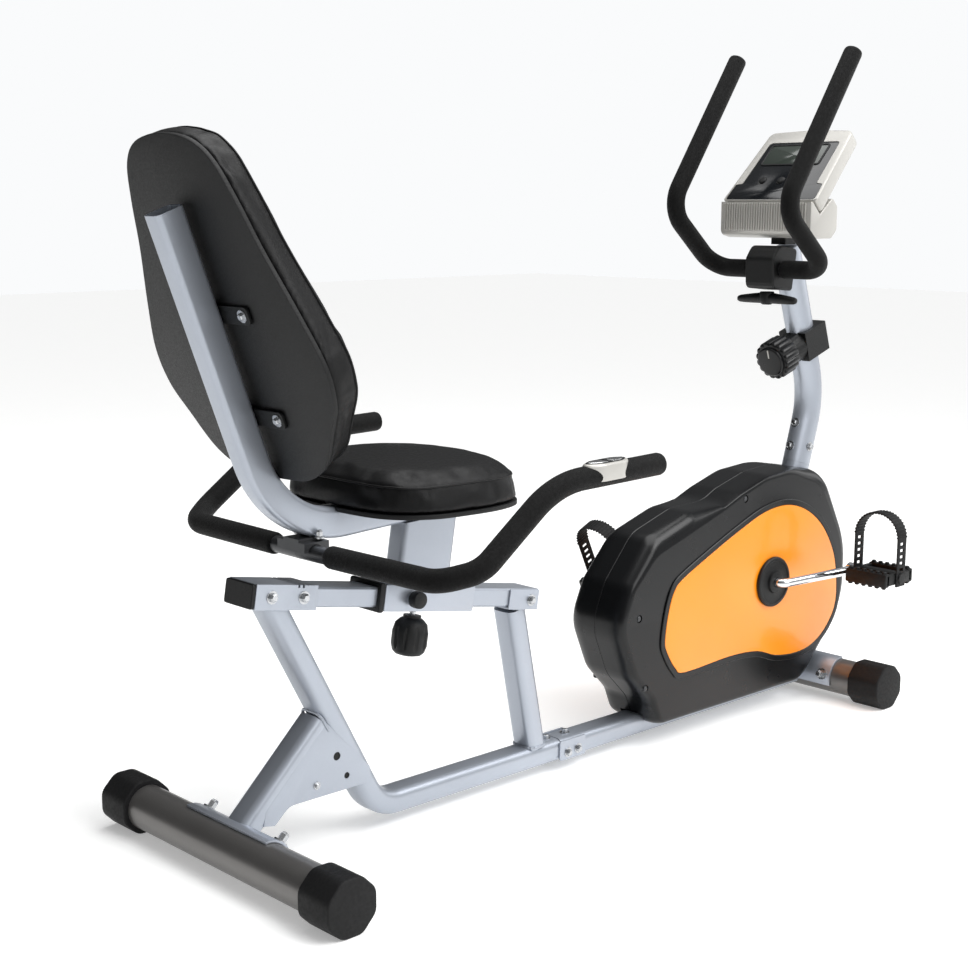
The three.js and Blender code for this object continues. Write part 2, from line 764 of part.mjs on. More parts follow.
function backrestGeometry() {
  const { thickness, standoff, bottom, top } = backrest;
  const middle = (bottom + top) / 2;
  const rightSide = [
    [0, top],
    [62, top - 9],
    [100, top - 38],
    [123, top - 90],
    [145, top - 160],
    [178, top - 245],
    [200, top - 315],
    [195, top - 370],
    [168, top - 415],
    [130, top - 468],
    [82, bottom + 8],
    [30, bottom],
  ];
  const leftSide = rightSide.slice(1).map(([y, s]) => [-y, s]).reverse();
  const points = [...rightSide, ...leftSide].map(([y, s]) => new THREE.Vector2(y, s - middle));
  const curve = new THREE.SplineCurve([...points, points[0]]);
  const shape = new THREE.Shape(curve.getPoints(36).slice(0, -1));
  const bevel = 14;
  const geometry = new THREE.ExtrudeGeometry(shape, {
    depth: thickness - 2 * bevel,
    bevelEnabled: true,
    bevelThickness: bevel,
    bevelSize: bevel * 0.7,
    bevelOffset: -bevel * 0.7,
    bevelSegments: 2,
  });
  return onBack(geometry.translate(0, 0, bevel), middle, standoff);
}

// ---------------------------------------------------------------- front frame
const mastAlong = vec(side(...mastKnee)).sub(vec(side(...mastFoot))).normalize();
const mastJoint = vec(side(...mastFoot)).addScaledVector(
  mastAlong,
  (mastJointZ - mastFoot[1]) / mastAlong.z,
);
const stubSection = ellipse(mast.width - 2 * mast.wall - 2 * gap, mast.depth - 2 * mast.wall - 2 * gap);

function frontFrame() {
  const start = side(jointX + 1, spineZ);
  const end = side(wheelbase, spineZ);
  const spine = solid(
    new THREE.ExtrudeGeometry(frameSection, { depth: wheelbase - jointX - 1, bevelEnabled: false })
      .rotateX(Math.PI / 2)
      .rotateZ(Math.PI / 2)
      .translate(start[0], 0, end[2]),
  );
  const stub = sweep(stubSection, [
    side(...mastFoot),
    mastJoint.clone().addScaledVector(mastAlong, 40).toArray(),
  ]);
  const collar = sweep(ellipse(mast.width, mast.depth), [
    mastJoint.clone().addScaledVector(mastAlong, -70).toArray(),
    mastJoint.clone().addScaledVector(mastAlong, -gap).toArray(),
  ]);

  const [cx, cz] = crankAxis;
  const shellHalf = 30;
  const shell = rod([cx, -shellHalf, cz], [cx, shellHalf - 4, cz], 21, 24);
  const strut = block(cx + 5, cx + 80, -14, 14, cz - 16, cz + 16);
  const bore = rod([cx, -80, cz], [cx, 80, cz], crank.radius + 1.5, 16);

  const w = frameTube.width / 2;
  const plates = [-1, 1].map((sign) => {
    const y0 = sign > 0 ? w + gap : -w - gap - 3;
    return block(jointX - 6, jointX + 56, y0, y0 + 3, spineZ - 17, spineZ + 17);
  });
  const lugs = block(jointX + 20, jointX + 50, -w - gap - 1, w + gap + 1, spineZ - 8, spineZ + 8);

  const { x: fx, z: fz, axle } = flywheel;
  const wheelLeft = flywheel.y + flywheel.width / 2;
  const wheelRight = flywheel.y - flywheel.width / 2;
  const outside = pulley.y + pulley.width / 2 + 5;
  const floor = spineZ + frameTube.depth / 2;
  const carriers = [wheelRight - 9, outside].map((y) =>
    block(fx - 18, fx + 18, y, y + 4, floor - 3, fz + 14),
  );
  const foot = block(fx - 18, fx + 18, wheelRight - 9, outside + 4, floor - 3, floor + 3);
  const axleRod = rod([fx, wheelRight - 12, fz], [fx, outside + 7, fz], axle, 16);

  const [mx, mz] = magnetPivot;
  const magnetPost = block(mx - 9, mx + 9, wheelLeft + 3, wheelLeft + 7, floor - 5, mz + 8);
  const magnetPin = rod([mx, wheelLeft + 5, mz], [mx, wheelRight, mz], 4, 12);

  const saddle = saddlePlate(wheelbase, 82, 200, 98);
  const frontTube = rod(
    [wheelbase, -120, cap.radius],
    [wheelbase, 120, cap.radius],
    stabiliser.radius + gap,
    24,
  );
  const beyond = block(wheelbase, wheelbase + 80, -40, 40, 0, 74);
  const body = cut(
    union(
      cut(spine, beyond),
      stub,
      collar,
      shell,
      strut,
      ...plates,
      lugs,
      ...carriers,
      foot,
      axleRod,
      magnetPost,
      magnetPin,
      saddle,
    ),
    frontTube,
    bore,
  );
  add("front_frame", body, silver);
}

// ---------------------------------------------------------------- drive
const magnetPivotAngle = rad(-14);
const magnetPivotReach = flywheel.radius + 20;
const magnetPivot = [
  flywheel.x + magnetPivotReach * Math.cos(magnetPivotAngle),
  flywheel.z + magnetPivotReach * Math.sin(magnetPivotAngle),
];

function drive() {
  const [cx, cz] = crankAxis;
  const shaftBore = crank.radius + gap;
  const y0 = pulley.y - pulley.width / 2;
  const y1 = pulley.y + pulley.width / 2;
  const web = rod([cx, y0 + 4, cz], [cx, y1 - 4, cz], pulley.radius - 4, 28);
  const rim = cut(
    rod([cx, y0, cz], [cx, y1, cz], pulley.radius, 28),
    rod([cx, y0 - 1, cz], [cx, y1 + 1, cz], pulley.radius - 9, 28),
  );
  const windows = [];
  for (let i = 0; i < 5; i++) {
    const a = rad(18 + 72 * i);
    const at = (y) => [cx + 68 * Math.cos(a), y, cz + 68 * Math.sin(a)];
    windows.push(rod(at(y0 - 1), at(y1 + 1), 24, 10));
  }
  const hub = rod([cx, y0 - 2, cz], [cx, y1 + 3, cz], 22, 14);
  const bore = rod([cx, y0 - 10, cz], [cx, y1 + 10, cz], shaftBore, 16);
  add("drive_pulley", cut(union(web, rim, hub), bore, ...windows), blackPlastic);

  const { x, z, radius, width, y, axle } = flywheel;
  const left = y + width / 2;
  const disc = cut(
    rod([x, y - width / 2, z], [x, left, z], radius, 32),
    rod([x, left - 9, z], [x, left + 1, z], radius - 20, 24),
    rod([x, y - width / 2 - 1, z], [x, y - width / 2 + 9, z], radius - 20, 24),
  );
  const nave = rod([x, y - width / 2, z], [x, y1, z], 13, 14);
  const small = rod([x, y0, z], [x, y1, z], flywheel.pulley, 18);
  const axleBore = rod([x, -90, z], [x, 90, z], axle + gap, 16);
  add("flywheel", cut(union(disc, nave, small), axleBore), castIron);

  add("drive_belt", beltGeometry(cx, cz, y0 + 1, y1 - 1), rubber);
  magnetBracket();
}

// A belt round two wheels: the outline of both arcs and the two straight runs between them.
function beltOutline(cx, cz, grow) {
  const big = pulley.radius + gap + grow;
  const small = flywheel.pulley + gap + grow;
  const dx = flywheel.x - cx;
  const dz = flywheel.z - cz;
  const distance = Math.hypot(dx, dz);
  const heading = Math.atan2(dz, dx);
  const lean = Math.acos((big - small) / distance);
  const points = [];
  const arc = (x, z, r, from, to, steps) => {
    for (let i = 0; i <= steps; i++) {
      const a = from + ((to - from) * i) / steps;
      points.push(new THREE.Vector2(x + r * Math.cos(a), z + r * Math.sin(a)));
    }
  };
  arc(flywheel.x, flywheel.z, small, heading - lean, heading + lean, 6);
  arc(cx, cz, big, heading + lean, heading - lean + 2 * Math.PI, 24);
  return points;
}

function beltGeometry(cx, cz, y0, y1) {
  const shape = new THREE.Shape(beltOutline(cx, cz, beltThickness));
  shape.holes.push(new THREE.Path(beltOutline(cx, cz, 0.4)));
  return sidePlateGeometry(shape, y0, y1);
}

// A curved arm under the flywheel that carries the brake magnets, hinged at its front end.
function magnetBracket() {
  const inner = flywheel.radius + magnetGap;
  const outer = inner + 8;
  const start = rad(-20);
  const end = rad(-105);
  const points = [];
  const steps = 10;
  for (let i = 0; i <= steps; i++) {
    const a = start + ((end - start) * i) / steps;
    points.push(new THREE.Vector2(flywheel.x + outer * Math.cos(a), flywheel.z + outer * Math.sin(a)));
  }
  for (let i = steps; i >= 0; i--) {
    const a = start + ((end - start) * i) / steps;
    points.push(new THREE.Vector2(flywheel.x + inner * Math.cos(a), flywheel.z + inner * Math.sin(a)));
  }
  const half = flywheel.width / 2 - 3;
  const arm = sidePlate(new THREE.Shape(points), flywheel.y - half, flywheel.y + half);
  const [px, pz] = magnetPivot;
  const knuckle = rod([px, flywheel.y - half, pz], [px, flywheel.y + half, pz], 9, 16);
  const link = block(px - 14, px + 4, flywheel.y - half, flywheel.y + half, pz - 16, pz - 2);
  const bore = rod([px, -60, pz], [px, 60, pz], 4 + gap, 12);
  const clear = rod([flywheel.x, -60, flywheel.z], [flywheel.x, 60, flywheel.z], inner, 32);
  add("magnet_bracket", cut(union(arm, knuckle, link), bore, clear), darkSteel);
}

// ---------------------------------------------------------------- crank and pedals
function crankParts() {
  const [cx, cz] = crankAxis;
  const dx = crank.length * Math.cos(crank.angle);
  const dz = crank.length * Math.sin(crank.angle);
  const section = new THREE.Shape(circle(crank.radius, 10));
  const arm = sweep(
    section,
    [
      [cx + dx, -crank.bossY, cz + dz],
      [cx, -crank.shaftHalf, cz],
      [cx, crank.shaftHalf, cz],
      [cx - dx, crank.bossY, cz - dz],
    ],
    [16, 16],
    3,
  );
  const bosses = [-1, 1].map((sign) => {
    const x = cx - sign * dx;
    const z = cz - sign * dz;
    const y = sign * crank.bossY;
    return rod([x, y - 9, z], [x, y + 9, z], 13, 20);
  });
  add("crank", union(arm, ...bosses), chrome);

  for (const [hand, sign] of [
    ["left", 1],
    ["right", -1],
  ]) {
    const inner = shroud.half + shroud.panel + gap + 0.8;
    const outer = inner + hubCover.thickness;
    const rim = hubCover.radius;
    const disc = rod([cx, sign * inner, cz], [cx, sign * outer, cz], rim, 24, rim - 2);
    const recess = rod([cx, sign * (outer - 2), cz], [cx, sign * (outer + 2), cz], rim - 8, 20);
    const boss = rod([cx, sign * inner, cz], [cx, sign * outer, cz], 20, 20);
    const bore = rod([cx, sign * 50, cz], [cx, sign * 90, cz], crank.radius + gap, 16);
    add("hub_cover_" + hand, cut(union(cut(disc, recess), boss), bore), blackPlastic);
    pedalParts(hand, sign, cx - sign * dx, cz - sign * dz);
  }
}

// A pedal body on its own spindle, and the strap that arches over it.
function pedalParts(hand, sign, x, z) {
  const { length, width, height } = pedal;
  const inner = crank.bossY + 9 + gap;
  const y0 = pedal.y - width / 2;
  const y1 = pedal.y + width / 2;
  const at = (a, b) => [Math.min(sign * a, sign * b), Math.max(sign * a, sign * b)];
  const [ya, yb] = at(y0, y1);
  const h = height / 2;
  const rails = [-1, 1].map((e) => {
    const xa = x + e * (length / 2 - 7) - 7;
    return block(xa, xa + 14, ya, yb, z - h, z + h);
  });
  const cheeks = [
    [y0, y0 + 8],
    [y1 - 8, y1],
  ].map(([a, b]) => {
    const [c, d] = at(a, b);
    return block(x - length / 2 + 4, x + length / 2 - 4, c, d, z - h + 3, z + h - 3);
  });
  const tread = block(x - length / 2 + 8, x + length / 2 - 8, ya + 2, yb - 2, z - 4, z + 5);
  const knobs = [];
  for (let i = 0; i < 5; i++) {
    for (const e of [-1, 1]) {
      const ky = ya + 10 + (i * (width - 20)) / 4;
      const kx = x + e * (length / 2 - 7);
      knobs.push(block(kx - 5, kx + 5, ky - 5, ky + 5, z + h - 1, z + h + 4));
    }
  }
  const spindle = rod([x, sign * inner, z], [x, sign * (y1 + 5), z], 8, 16);
  const lean = sign > 0 ? -pedalLean : 0;
  const tipped = (body) =>
    solid(geometryOf(body).translate(-x, 0, -z).rotateY(lean).translate(x, 0, z));
  add("pedal_" + hand, tipped(union(...rails, ...cheeks, tread, ...knobs, spindle)), blackPlastic);

  const foot = z - h + 6;
  const reach = width / 2 + strap.thickness / 2 + gap;
  const middle = sign * pedal.y;
  const topZ = z + strap.height - strap.thickness / 2;
  const path = [
    [x, middle - reach, foot],
    [x, middle - reach, topZ],
    [x, middle + reach, topZ],
    [x, middle + reach, foot],
  ];
  const band = new THREE.Shape();
  const w = strap.width / 2;
  const t = strap.thickness / 2;
  band.moveTo(-t, -w).lineTo(t, -w).lineTo(t, w).lineTo(-t, w).closePath();
  const clear = rod([x, sign * inner, z], [x, sign * (y1 + 12), z], 8 + gap, 16);
  const loop = cut(sweep(band, path, [44, 44], 6), clear);
  add("pedal_strap_" + hand, tipped(loop), rubber);
}

// ---------------------------------------------------------------- shroud
// Side outline of the casing: a round front over the crank, narrowing to a lower rear end.
const casing = [
  [864, 38, 24],
  [842, 88, 50],
  [792, 138, 70],
  [752, 232, 70],
  [782, 302, 60],
  [850, 379, 60],
  [950, 410, 80],
  [1040, 413, 90],
  [1076, 430, 90],
  [1160, 453, 90],
  [1240, 458, 90],
  [1345, 440, 90],
  [1418, 300, 150],
  [1418, 170, 130],
  [1290, 38, 70],
];
const casingPanel = [
  [902, 128, 26],
  [872, 176, 26],
  [900, 300, 40],
  [1010, 336, 120],
  [1150, 398, 100],
  [1275, 400, 90],
  [1388, 290, 110],
  [1382, 150, 100],
  [1250, 84, 90],
  [1120, 134, 80],
];

function shroudParts() {
  const outline = roundedShape(casing, 3);
  const inner = insetShape(outline, shroud.wall);
  const [cx, cz] = crankAxis;
  const stubClear = sweep(ellipse(mast.width + 2 * gap + 1, mast.depth + 2 * gap + 1), [
    side(...mastFoot),
    mastJoint.clone().addScaledVector(mastAlong, 40).toArray(),
  ]);
  const slot = frameTube.width / 2 + 1;
  const spineClear = block(700, wheelbase + 40, -slot, slot, 0, spineZ + frameTube.depth / 2 + 1);
  const frontClear = rod(
    [wheelbase, -120, cap.radius],
    [wheelbase, 120, cap.radius],
    stabiliser.radius + 6,
    32,
  );
  for (const [hand, sign] of [
    ["left", 1],
    ["right", -1],
  ]) {
    const y = (a, b) => [Math.min(sign * a, sign * b), Math.max(sign * a, sign * b)];
    const [fullA, fullB] = y(-shroud.half, shroud.half);
    const [keepA, keepB] = y(gap / 2, shroud.half + 1);
    const [hollowA, hollowB] = y(-shroud.half, shroud.half - shroud.wall);
    const shell = sidePlate(outline, fullA, fullB, shroud.edge, 2);
    const hollow = sidePlate(inner, hollowA, hollowB, shroud.edge - 2, 1);
    const [boreA, boreB] = y(40, 80);
    const body = cut(
      shell.intersect(block(700, 1500, keepA, keepB, 0, 520)),
      hollow,
      stubClear,
      spineClear,
      frontClear,
      rod([cx, boreA, cz], [cx, boreB, cz], 24, 24),
    );
    add("shroud_" + hand, body, shroudPlastic);

    const [panelA, panelB] = y(shroud.half + gap, shroud.half + gap + shroud.panel);
    const panel = cut(
      sidePlate(roundedShape(casingPanel, 4), panelA, panelB),
      rod([cx, boreA, cz], [cx, boreB, cz], 24, 24),
    );
    add("side_panel_" + hand, panel, orange);
  }
}

// The outline moved inwards by a wall's thickness.
function insetShape(shape, by) {
  const points = shape.getPoints();
  const turn = THREE.ShapeUtils.area(points) > 0 ? 1 : -1;
  const count = points.length;
  const moved = points.map((p, i) => {
    const a = points[(i + count - 1) % count];
    const b = points[(i + 1) % count];
    const along = b.clone().sub(a).normalize();
    return new THREE.Vector2(p.x - turn * by * along.y, p.y + turn * by * along.x);
  });
  return new THREE.Shape(moved);
}

// ---------------------------------------------------------------- mast
const mastUp = vec(side(...mastTop)).sub(vec(side(...mastKnee))).normalize();
const mastPoints = [mastJoint.toArray(), side(...mastKnee), side(...mastTop)];
const mastGeometry = (margin) =>
  sweepGeometry(
    ellipse(mast.width + 2 * margin, mast.depth + 2 * margin),
    mastPoints,
    [mast.bend],
    6,
  );

// A point on the mast's upper run at a height, and the direction square to it, to the rider.
function mastAt(z) {
  const t = (z - mastKnee[1]) / mastUp.z;
  return vec(side(...mastKnee)).addScaledVector(mastUp, t);
}
const mastBack = new THREE.Vector3(-mastUp.z, 0, mastUp.x);

function mastParts() {
  const socket = sweep(ellipse(mast.width - 2 * mast.wall, mast.depth - 2 * mast.wall), [
    mastJoint.clone().addScaledVector(mastAlong, -5).toArray(),
    mastJoint.clone().addScaledVector(mastAlong, 41).toArray(),
  ]);
  add("console_mast", cut(solid(mastGeometry(0)), socket), silver);
  tensionParts();
  upperHandlebar();
}

function tensionParts() {
  const at = mastAt(tension.along);
  const out = (d) => at.clone().addScaledVector(mastBack, d).toArray();
  const wrapBox = new THREE.BoxGeometry(66, 60, 56);
  wrapBox.rotateY(-Math.atan2(-mastUp.x, mastUp.z)).translate(...out(-8));
  const mount = rod(out(25), out(tension.reach - tension.knobLength - 2 * gap), 30, 24, 26);
  const wrap = cut(union(solid(wrapBox), mount), solid(mastGeometry(gap)));
  add("tension_bracket", largest(wrap), blackPlastic);

  const base = tension.reach - tension.knobLength;
  const body = rod(out(base), out(tension.reach), tension.knobRadius - 1, 24, tension.knobRadius - 3);
  const ribs = [];
  const across = new THREE.Vector3(0, 1, 0);
  const upward = mastUp.clone();
  for (let i = 0; i < tension.ribs; i++) {
    const a = (i / tension.ribs) * Math.PI * 2;
    const shift = across
      .clone()
      .multiplyScalar(Math.cos(a))
      .addScaledVector(upward, Math.sin(a))
      .multiplyScalar(tension.knobRadius - 2);
    const end = (d) => vec(out(d)).add(shift).toArray();
    ribs.push(rod(end(base + 2), end(tension.reach - 8), 4, 6));
  }
  add("tension_knob", union(body, ...ribs), blackPlastic);
}

const largest = (body) =>
  body.decompose().reduce((a, b) => (b.volume() > a.volume() ? b : a));

function upperHandlebar() {
  const { x, z, half, bareHalf } = upperBar;
  const points = (sign) => [
    [x, 0, z],
    [x, sign * half, z],
    [1082, sign * half, 932],
    [1266, sign * half, 1199],
  ];
  const bends = [42, 50];
  const section = new THREE.Shape(circle(bar.radius, barSides));
  const [, ...rest] = points(1);
  const arm = sweep(section, [[x, -1, z], ...rest], bends, 4);
  add("upper_handlebar_tube", union(arm, mirrorY(arm)), darkSteel);

  const outer = bar.radius + bar.foam;
  const sleeve = sweep(ringShape(outer, bar.radius + gap, barSides), points(1), bends, 4);
  const trimmed = cut(sleeve, block(x - 60, x + 60, -10, bareHalf, z - 40, z + 40));
  const grip = union(trimmed, foamTip(points(1)));
  add("upper_grip_left", grip, foam);
  add("upper_grip_right", mirrorY(grip), foam);

  // The clamp wraps the handlebar's middle and the back of the mast, with the T-handle below it.
  const clampOutline = roundedShape([
    [x - 26, z - 34, 12],
    [x + 34, z - 40, 6],
    [x + 46, z + 36, 8],
    [x - 10, z + 44, 20],
    [x - 28, z + 20, 14],
  ]);
  const clamp = cut(
    sidePlate(clampOutline, -bareHalf + 1, bareHalf - 1, 3, 1),
    rod([x, -80, z], [x, 80, z], bar.radius + gap, 20),
    solid(mastGeometry(gap)),
  );
  add("handlebar_clamp", largest(clamp), blackPlastic);

  const handleZ = z - 34 - 16;
  const hub = rod([x, 0, handleZ - 9], [x, 0, z - 41], 13, 16);
  const wings = [-1, 1].map((sign) =>
    rod([x, 0, handleZ - 2], [x, sign * 62, handleZ - 2], 9, 12, 6.5),
  );
  add("clamp_t_handle", union(hub, ...wings), blackPlastic);
}

// ---------------------------------------------------------------- console
// Console axes: X across the rider's view, Y up the face, Z out of the face.
const faceUp = new THREE.Vector3(Math.cos(consoleTilt), 0, Math.sin(consoleTilt));
const faceOut = new THREE.Vector3(-faceUp.z, 0, faceUp.x);
function onConsole(geometry, out = 0) {
  const origin = vec(side(...consoleFoot)).addScaledVector(faceOut, out);
  const across = new THREE.Vector3().crossVectors(faceUp, faceOut);
  const matrix = new THREE.Matrix4().makeBasis(across, faceUp, faceOut).setPosition(origin);
  return geometry.applyMatrix4(matrix);
}

const faceOutline = [
  [-100, 3, 5],
  [100, 3, 5],
  [97, 42, 5],
  [83, 44, 3],
  [78, 150, 8],
  [-78, 150, 8],
  [-83, 44, 3],
  [-97, 42, 5],
];
const buttonSpots = [41, 0, -41];
const buttonRadius = 8;
const buttonUp = 52;
const faceRecess = 3;

// Round cutters, 15 mm deep, where the buttons pass through the face.
function buttonHoles(radius) {
  return buttonSpots.map((spot) => {
    const cutter = new THREE.CylinderGeometry(radius, radius, 30, 12);
    cutter.rotateX(Math.PI / 2).translate(spot, buttonUp, 0);
    return solid(onConsole(cutter));
  });
}

function consoleParts() {
  const { lower, upper, length, depth } = consoleBody;
  const outline = roundedShape([
    [-lower, 0, 6],
    [lower, 0, 6],
    [upper, length, 12],
    [0, length + 5, 300],
    [-upper, length, 12],
  ]);
  const bodyGeometry = new THREE.ExtrudeGeometry(outline, {
    depth: depth - 6,
    bevelEnabled: true,
    bevelThickness: 3,
    bevelSize: 3,
    bevelOffset: -3,
    bevelSegments: 1,
  });
  const pocket = new THREE.ExtrudeGeometry(roundedShape(faceOutline), {
    depth: faceRecess + 5,
    bevelEnabled: false,
  });
  const wells = buttonHoles(buttonRadius + 1);
  const body = cut(
    solid(onConsole(bodyGeometry, -depth + 3)),
    solid(onConsole(pocket, -faceRecess)),
    ...wells,
  );
  add("console_housing", body, consoleSilver);

  const face = new THREE.ExtrudeGeometry(insetShape(roundedShape(faceOutline), gap), {
    depth: faceRecess - gap,
    bevelEnabled: false,
  });
  const holes = buttonHoles(buttonRadius + gap);
  add("console_face", cut(solid(onConsole(face, -faceRecess + gap)), ...holes), displayBlack);

  buttonSpots.forEach((spot, i) => {
    const cylinder = new THREE.CylinderGeometry(buttonRadius - 0.6, buttonRadius, 8, 12);
    cylinder.rotateX(Math.PI / 2).translate(spot, buttonUp, -2);
    add("console_button_" + (i + 1), onConsole(cylinder), blackPlastic);
  });

  const drum = roundedShape(
    [
      [1197, 943],
      [1203, 943],
      [1225.6, 921.2],
      [1262, 950, 6],
      [1278, 935, 6],
      [1278, 892, 14],
      [1262, 878, 4],
      [1222, 878, 12],
      [1197, 884, 12],
    ],
    3,
  );
  let drumBody = sidePlate(drum, -101, 101);
  const ribPitch = 14;
  const ribCount = 13;
  for (let i = 0; i < ribCount; i++) {
    const y = (i - (ribCount - 1) / 2) * ribPitch;
    drumBody = cut(drumBody, block(1190, 1198.5, y - 1, y + 1, 890, 940));
  }
  const neck = block(1240, 1272, -16, 16, mastTop[1] + 4, 879);
  add("console_drum", drumBody, consoleSilver);
  const neckBody = cut(neck, block(1200, 1300, -50, 50, 878 - gap, 900), solid(mastGeometry(gap)));
  add("console_neck", largest(neckBody), blackPlastic);
}

// ---------------------------------------------------------------- assembly
stabilisers();
rearFrame();
railParts();
carriageParts();
seatParts();
seatHandlebar();
frontFrame();
drive();
crankParts();
shroudParts();
mastParts();
consoleParts();

// The origin is on the floor under the middle of the bike's length.
const extent = new THREE.Box3().setFromObject(bike);
bike.position.x = -(extent.min.x + extent.max.x) / 2;

export default bike;
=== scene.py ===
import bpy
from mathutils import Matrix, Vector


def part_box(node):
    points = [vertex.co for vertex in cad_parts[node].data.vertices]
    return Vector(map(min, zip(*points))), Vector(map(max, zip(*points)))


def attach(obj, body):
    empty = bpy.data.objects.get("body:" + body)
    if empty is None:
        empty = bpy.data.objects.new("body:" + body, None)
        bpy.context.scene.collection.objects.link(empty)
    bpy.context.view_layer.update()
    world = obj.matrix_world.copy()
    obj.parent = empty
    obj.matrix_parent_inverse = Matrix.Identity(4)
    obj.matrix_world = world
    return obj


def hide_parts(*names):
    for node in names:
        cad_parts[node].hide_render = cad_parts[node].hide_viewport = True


bl_info = {
    "name": "Recumbent exercise bike",
    "version": (1, 0, 0),
    "blender": (4, 5, 0),
    "location": "3D View > Sidebar > Bike",
    "description": "Builds the finished surfaces of a recumbent exercise bike over its frame",
    "category": "Add Mesh",
}

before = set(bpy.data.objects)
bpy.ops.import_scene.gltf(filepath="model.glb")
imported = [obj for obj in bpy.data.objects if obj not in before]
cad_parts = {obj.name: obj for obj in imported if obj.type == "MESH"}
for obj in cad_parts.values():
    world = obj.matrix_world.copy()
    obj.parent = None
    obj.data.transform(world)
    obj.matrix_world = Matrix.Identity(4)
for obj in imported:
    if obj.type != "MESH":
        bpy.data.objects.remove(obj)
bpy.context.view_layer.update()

import math

import bmesh
import bpy
from mathutils import Matrix, Quaternion, Vector
from mathutils.bvhtree import BVHTree

# ------------------------------------------------------------------ frame of reference
# Sizes below are in millimetres, with X = 0 on the rear stabiliser's axis, X forward, Y to the
# rider's left and Z up from the floor.
MM = 0.001
REAR_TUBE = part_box("rear_stabiliser_tube")
SHIFT_X = (REAR_TUBE[0].x + REAR_TUBE[1].x) / 2


def row(x, y, z):
    """A place in millimetres as a place in the frame, in metres."""
    return Vector((x * MM + SHIFT_X, y * MM, z * MM))


def srgb(text):
    """A hex colour as linear red, green, blue and alpha."""
    values = [int(text[i : i + 2], 16) / 255 for i in (1, 3, 5)]
    linear = [v / 12.92 if v <= 0.04045 else ((v + 0.055) / 1.055) ** 2.4 for v in values]
    return (*linear, 1.0)


# ------------------------------------------------------------------ settings
def colour(name, description, text):
    return bpy.props.FloatVectorProperty(
        name=name, description=description, subtype="COLOR", size=4, min=0, max=1, default=srgb(text)
    )


def length(name, description, default, low=0.0):
    return bpy.props.FloatProperty(
        name=name, description=description, default=default, min=low, unit="LENGTH"
    )


class BikeColours(bpy.types.PropertyGroup):
    silver: colour("Silver", "Powder coat of the frame", "#AEB4BE")
    # The stabiliser tube colour is the frame's silver paint, darkened as painted shade for the dark
    # reflections on the tubes.
    tube: colour("Stabiliser tube", "Dark metallic coat of the two floor tubes", "#7A7876")
    shroud: colour("Casing", "Moulded casing of the drive", "#090A0C")
    panel: colour("Side panel", "Coloured panels on the casing", "#FA9212")
    plastic: colour("Black plastic", "Small black mouldings", "#08090A")
    vinyl: colour("Vinyl", "Cushion covers", "#060607")
    foam: colour("Foam", "Grip sleeves", "#060606")
    console: colour("Console", "Silver-painted console shell", "#BDBBB6")


class BikeSizes(bpy.types.PropertyGroup):
    foam_radius: length("Grip radius", "Outer radius of the foam grips", 16.5 * MM, 0.013)
    piping: length("Seam radius", "Radius of the sewn piping on the cushions", 1.7 * MM, 0.0005)
    rib_pitch: length("Rib pitch", "Spacing of the ribs under the console", 5.6 * MM, 0.003)
    casing_wall: length("Casing wall", "Wall thickness of the moulded casing", 3 * MM, 0.001)
    swell: length("Cushion swell", "Furthest a cushion's surface is pushed out", 7 * MM, 0.001)


# ------------------------------------------------------------------ materials
def add_node(tree, kind, inputs=None, **settings):
    """Adds a node, sets what it is told, and links or sets its inputs."""
    made = tree.nodes.new(kind)
    for key, value in settings.items():
        setattr(made, key, value)
    for key, value in (inputs or {}).items():
        if isinstance(value, bpy.types.NodeSocket):
            tree.links.new(value, made.inputs[key])
        else:
            made.inputs[key].default_value = value
    return made


def per_mm(size_mm):
    """Pattern scale whose features are about size_mm across."""
    return 1.0 / (size_mm * MM)


def surface(name, tint, second, roughness, grain_mm, bump_mm, cells=False, detail=3.0, **shader):
    """A material: two close tints mixed by slow noise, roughness that varies, and a grain in the bump.

    roughness is (low, high); bump_mm is the grain's depth; shader holds settings of the Principled
    node that are the same all over.
    """
    made = bpy.data.materials.new(name)
    made.use_nodes = True
    tree = made.node_tree
    shade = tree.nodes["Principled BSDF"]
    place = add_node(tree, "ShaderNodeTexCoord").outputs["Object"]
    slow = add_node(tree, "ShaderNodeTexNoise", {"Vector": place, "Scale": per_mm(90), "Detail": 2.0})
    # Sockets 0, 6 and 7 of a colour mix are its factor and its two colours.
    mix = add_node(tree, "ShaderNodeMix", {0: slow.outputs["Fac"], 6: tint, 7: second}, data_type="RGBA")
    fine = add_node(
        tree, "ShaderNodeTexNoise", {"Vector": place, "Scale": per_mm(grain_mm * 3), "Detail": detail}
    )
    rough = add_node(
        tree,
        "ShaderNodeMapRange",
        {
            "Value": fine.outputs["Fac"], "From Min": 0.3, "From Max": 0.7, "To Min": roughness[0],
            "To Max": roughness[1]
        },
    )
    if cells:
        grain = add_node(
            tree,
            "ShaderNodeTexVoronoi",
            {"Vector": place, "Scale": per_mm(grain_mm)},
            feature="DISTANCE_TO_EDGE",
        )
        height = add_node(
            tree,
            "ShaderNodeMapRange",
            {"Value": grain.outputs["Distance"], "From Max": 0.25},
        ).outputs["Result"]
    else:
        height = add_node(
            tree, "ShaderNodeTexNoise", {"Vector": place, "Scale": per_mm(grain_mm), "Detail": 2.0}
        ).outputs["Fac"]
    bump = add_node(
        tree, "ShaderNodeBump", {"Height": height, "Distance": bump_mm * MM, "Strength": 1.0}
    )
    links = {
        "Base Color": mix.outputs[2], "Roughness": rough.outputs["Result"],
        "Normal": bump.outputs["Normal"]
    }
    for socket, source in links.items():
        tree.links.new(source, shade.inputs[socket])
    for socket, value in shader.items():
        shade.inputs[socket.replace("_", " ")].default_value = value
    return made


def darker(tint, share):
    return (*(c * share for c in tint[:3]), 1.0)


MATERIALS = {}


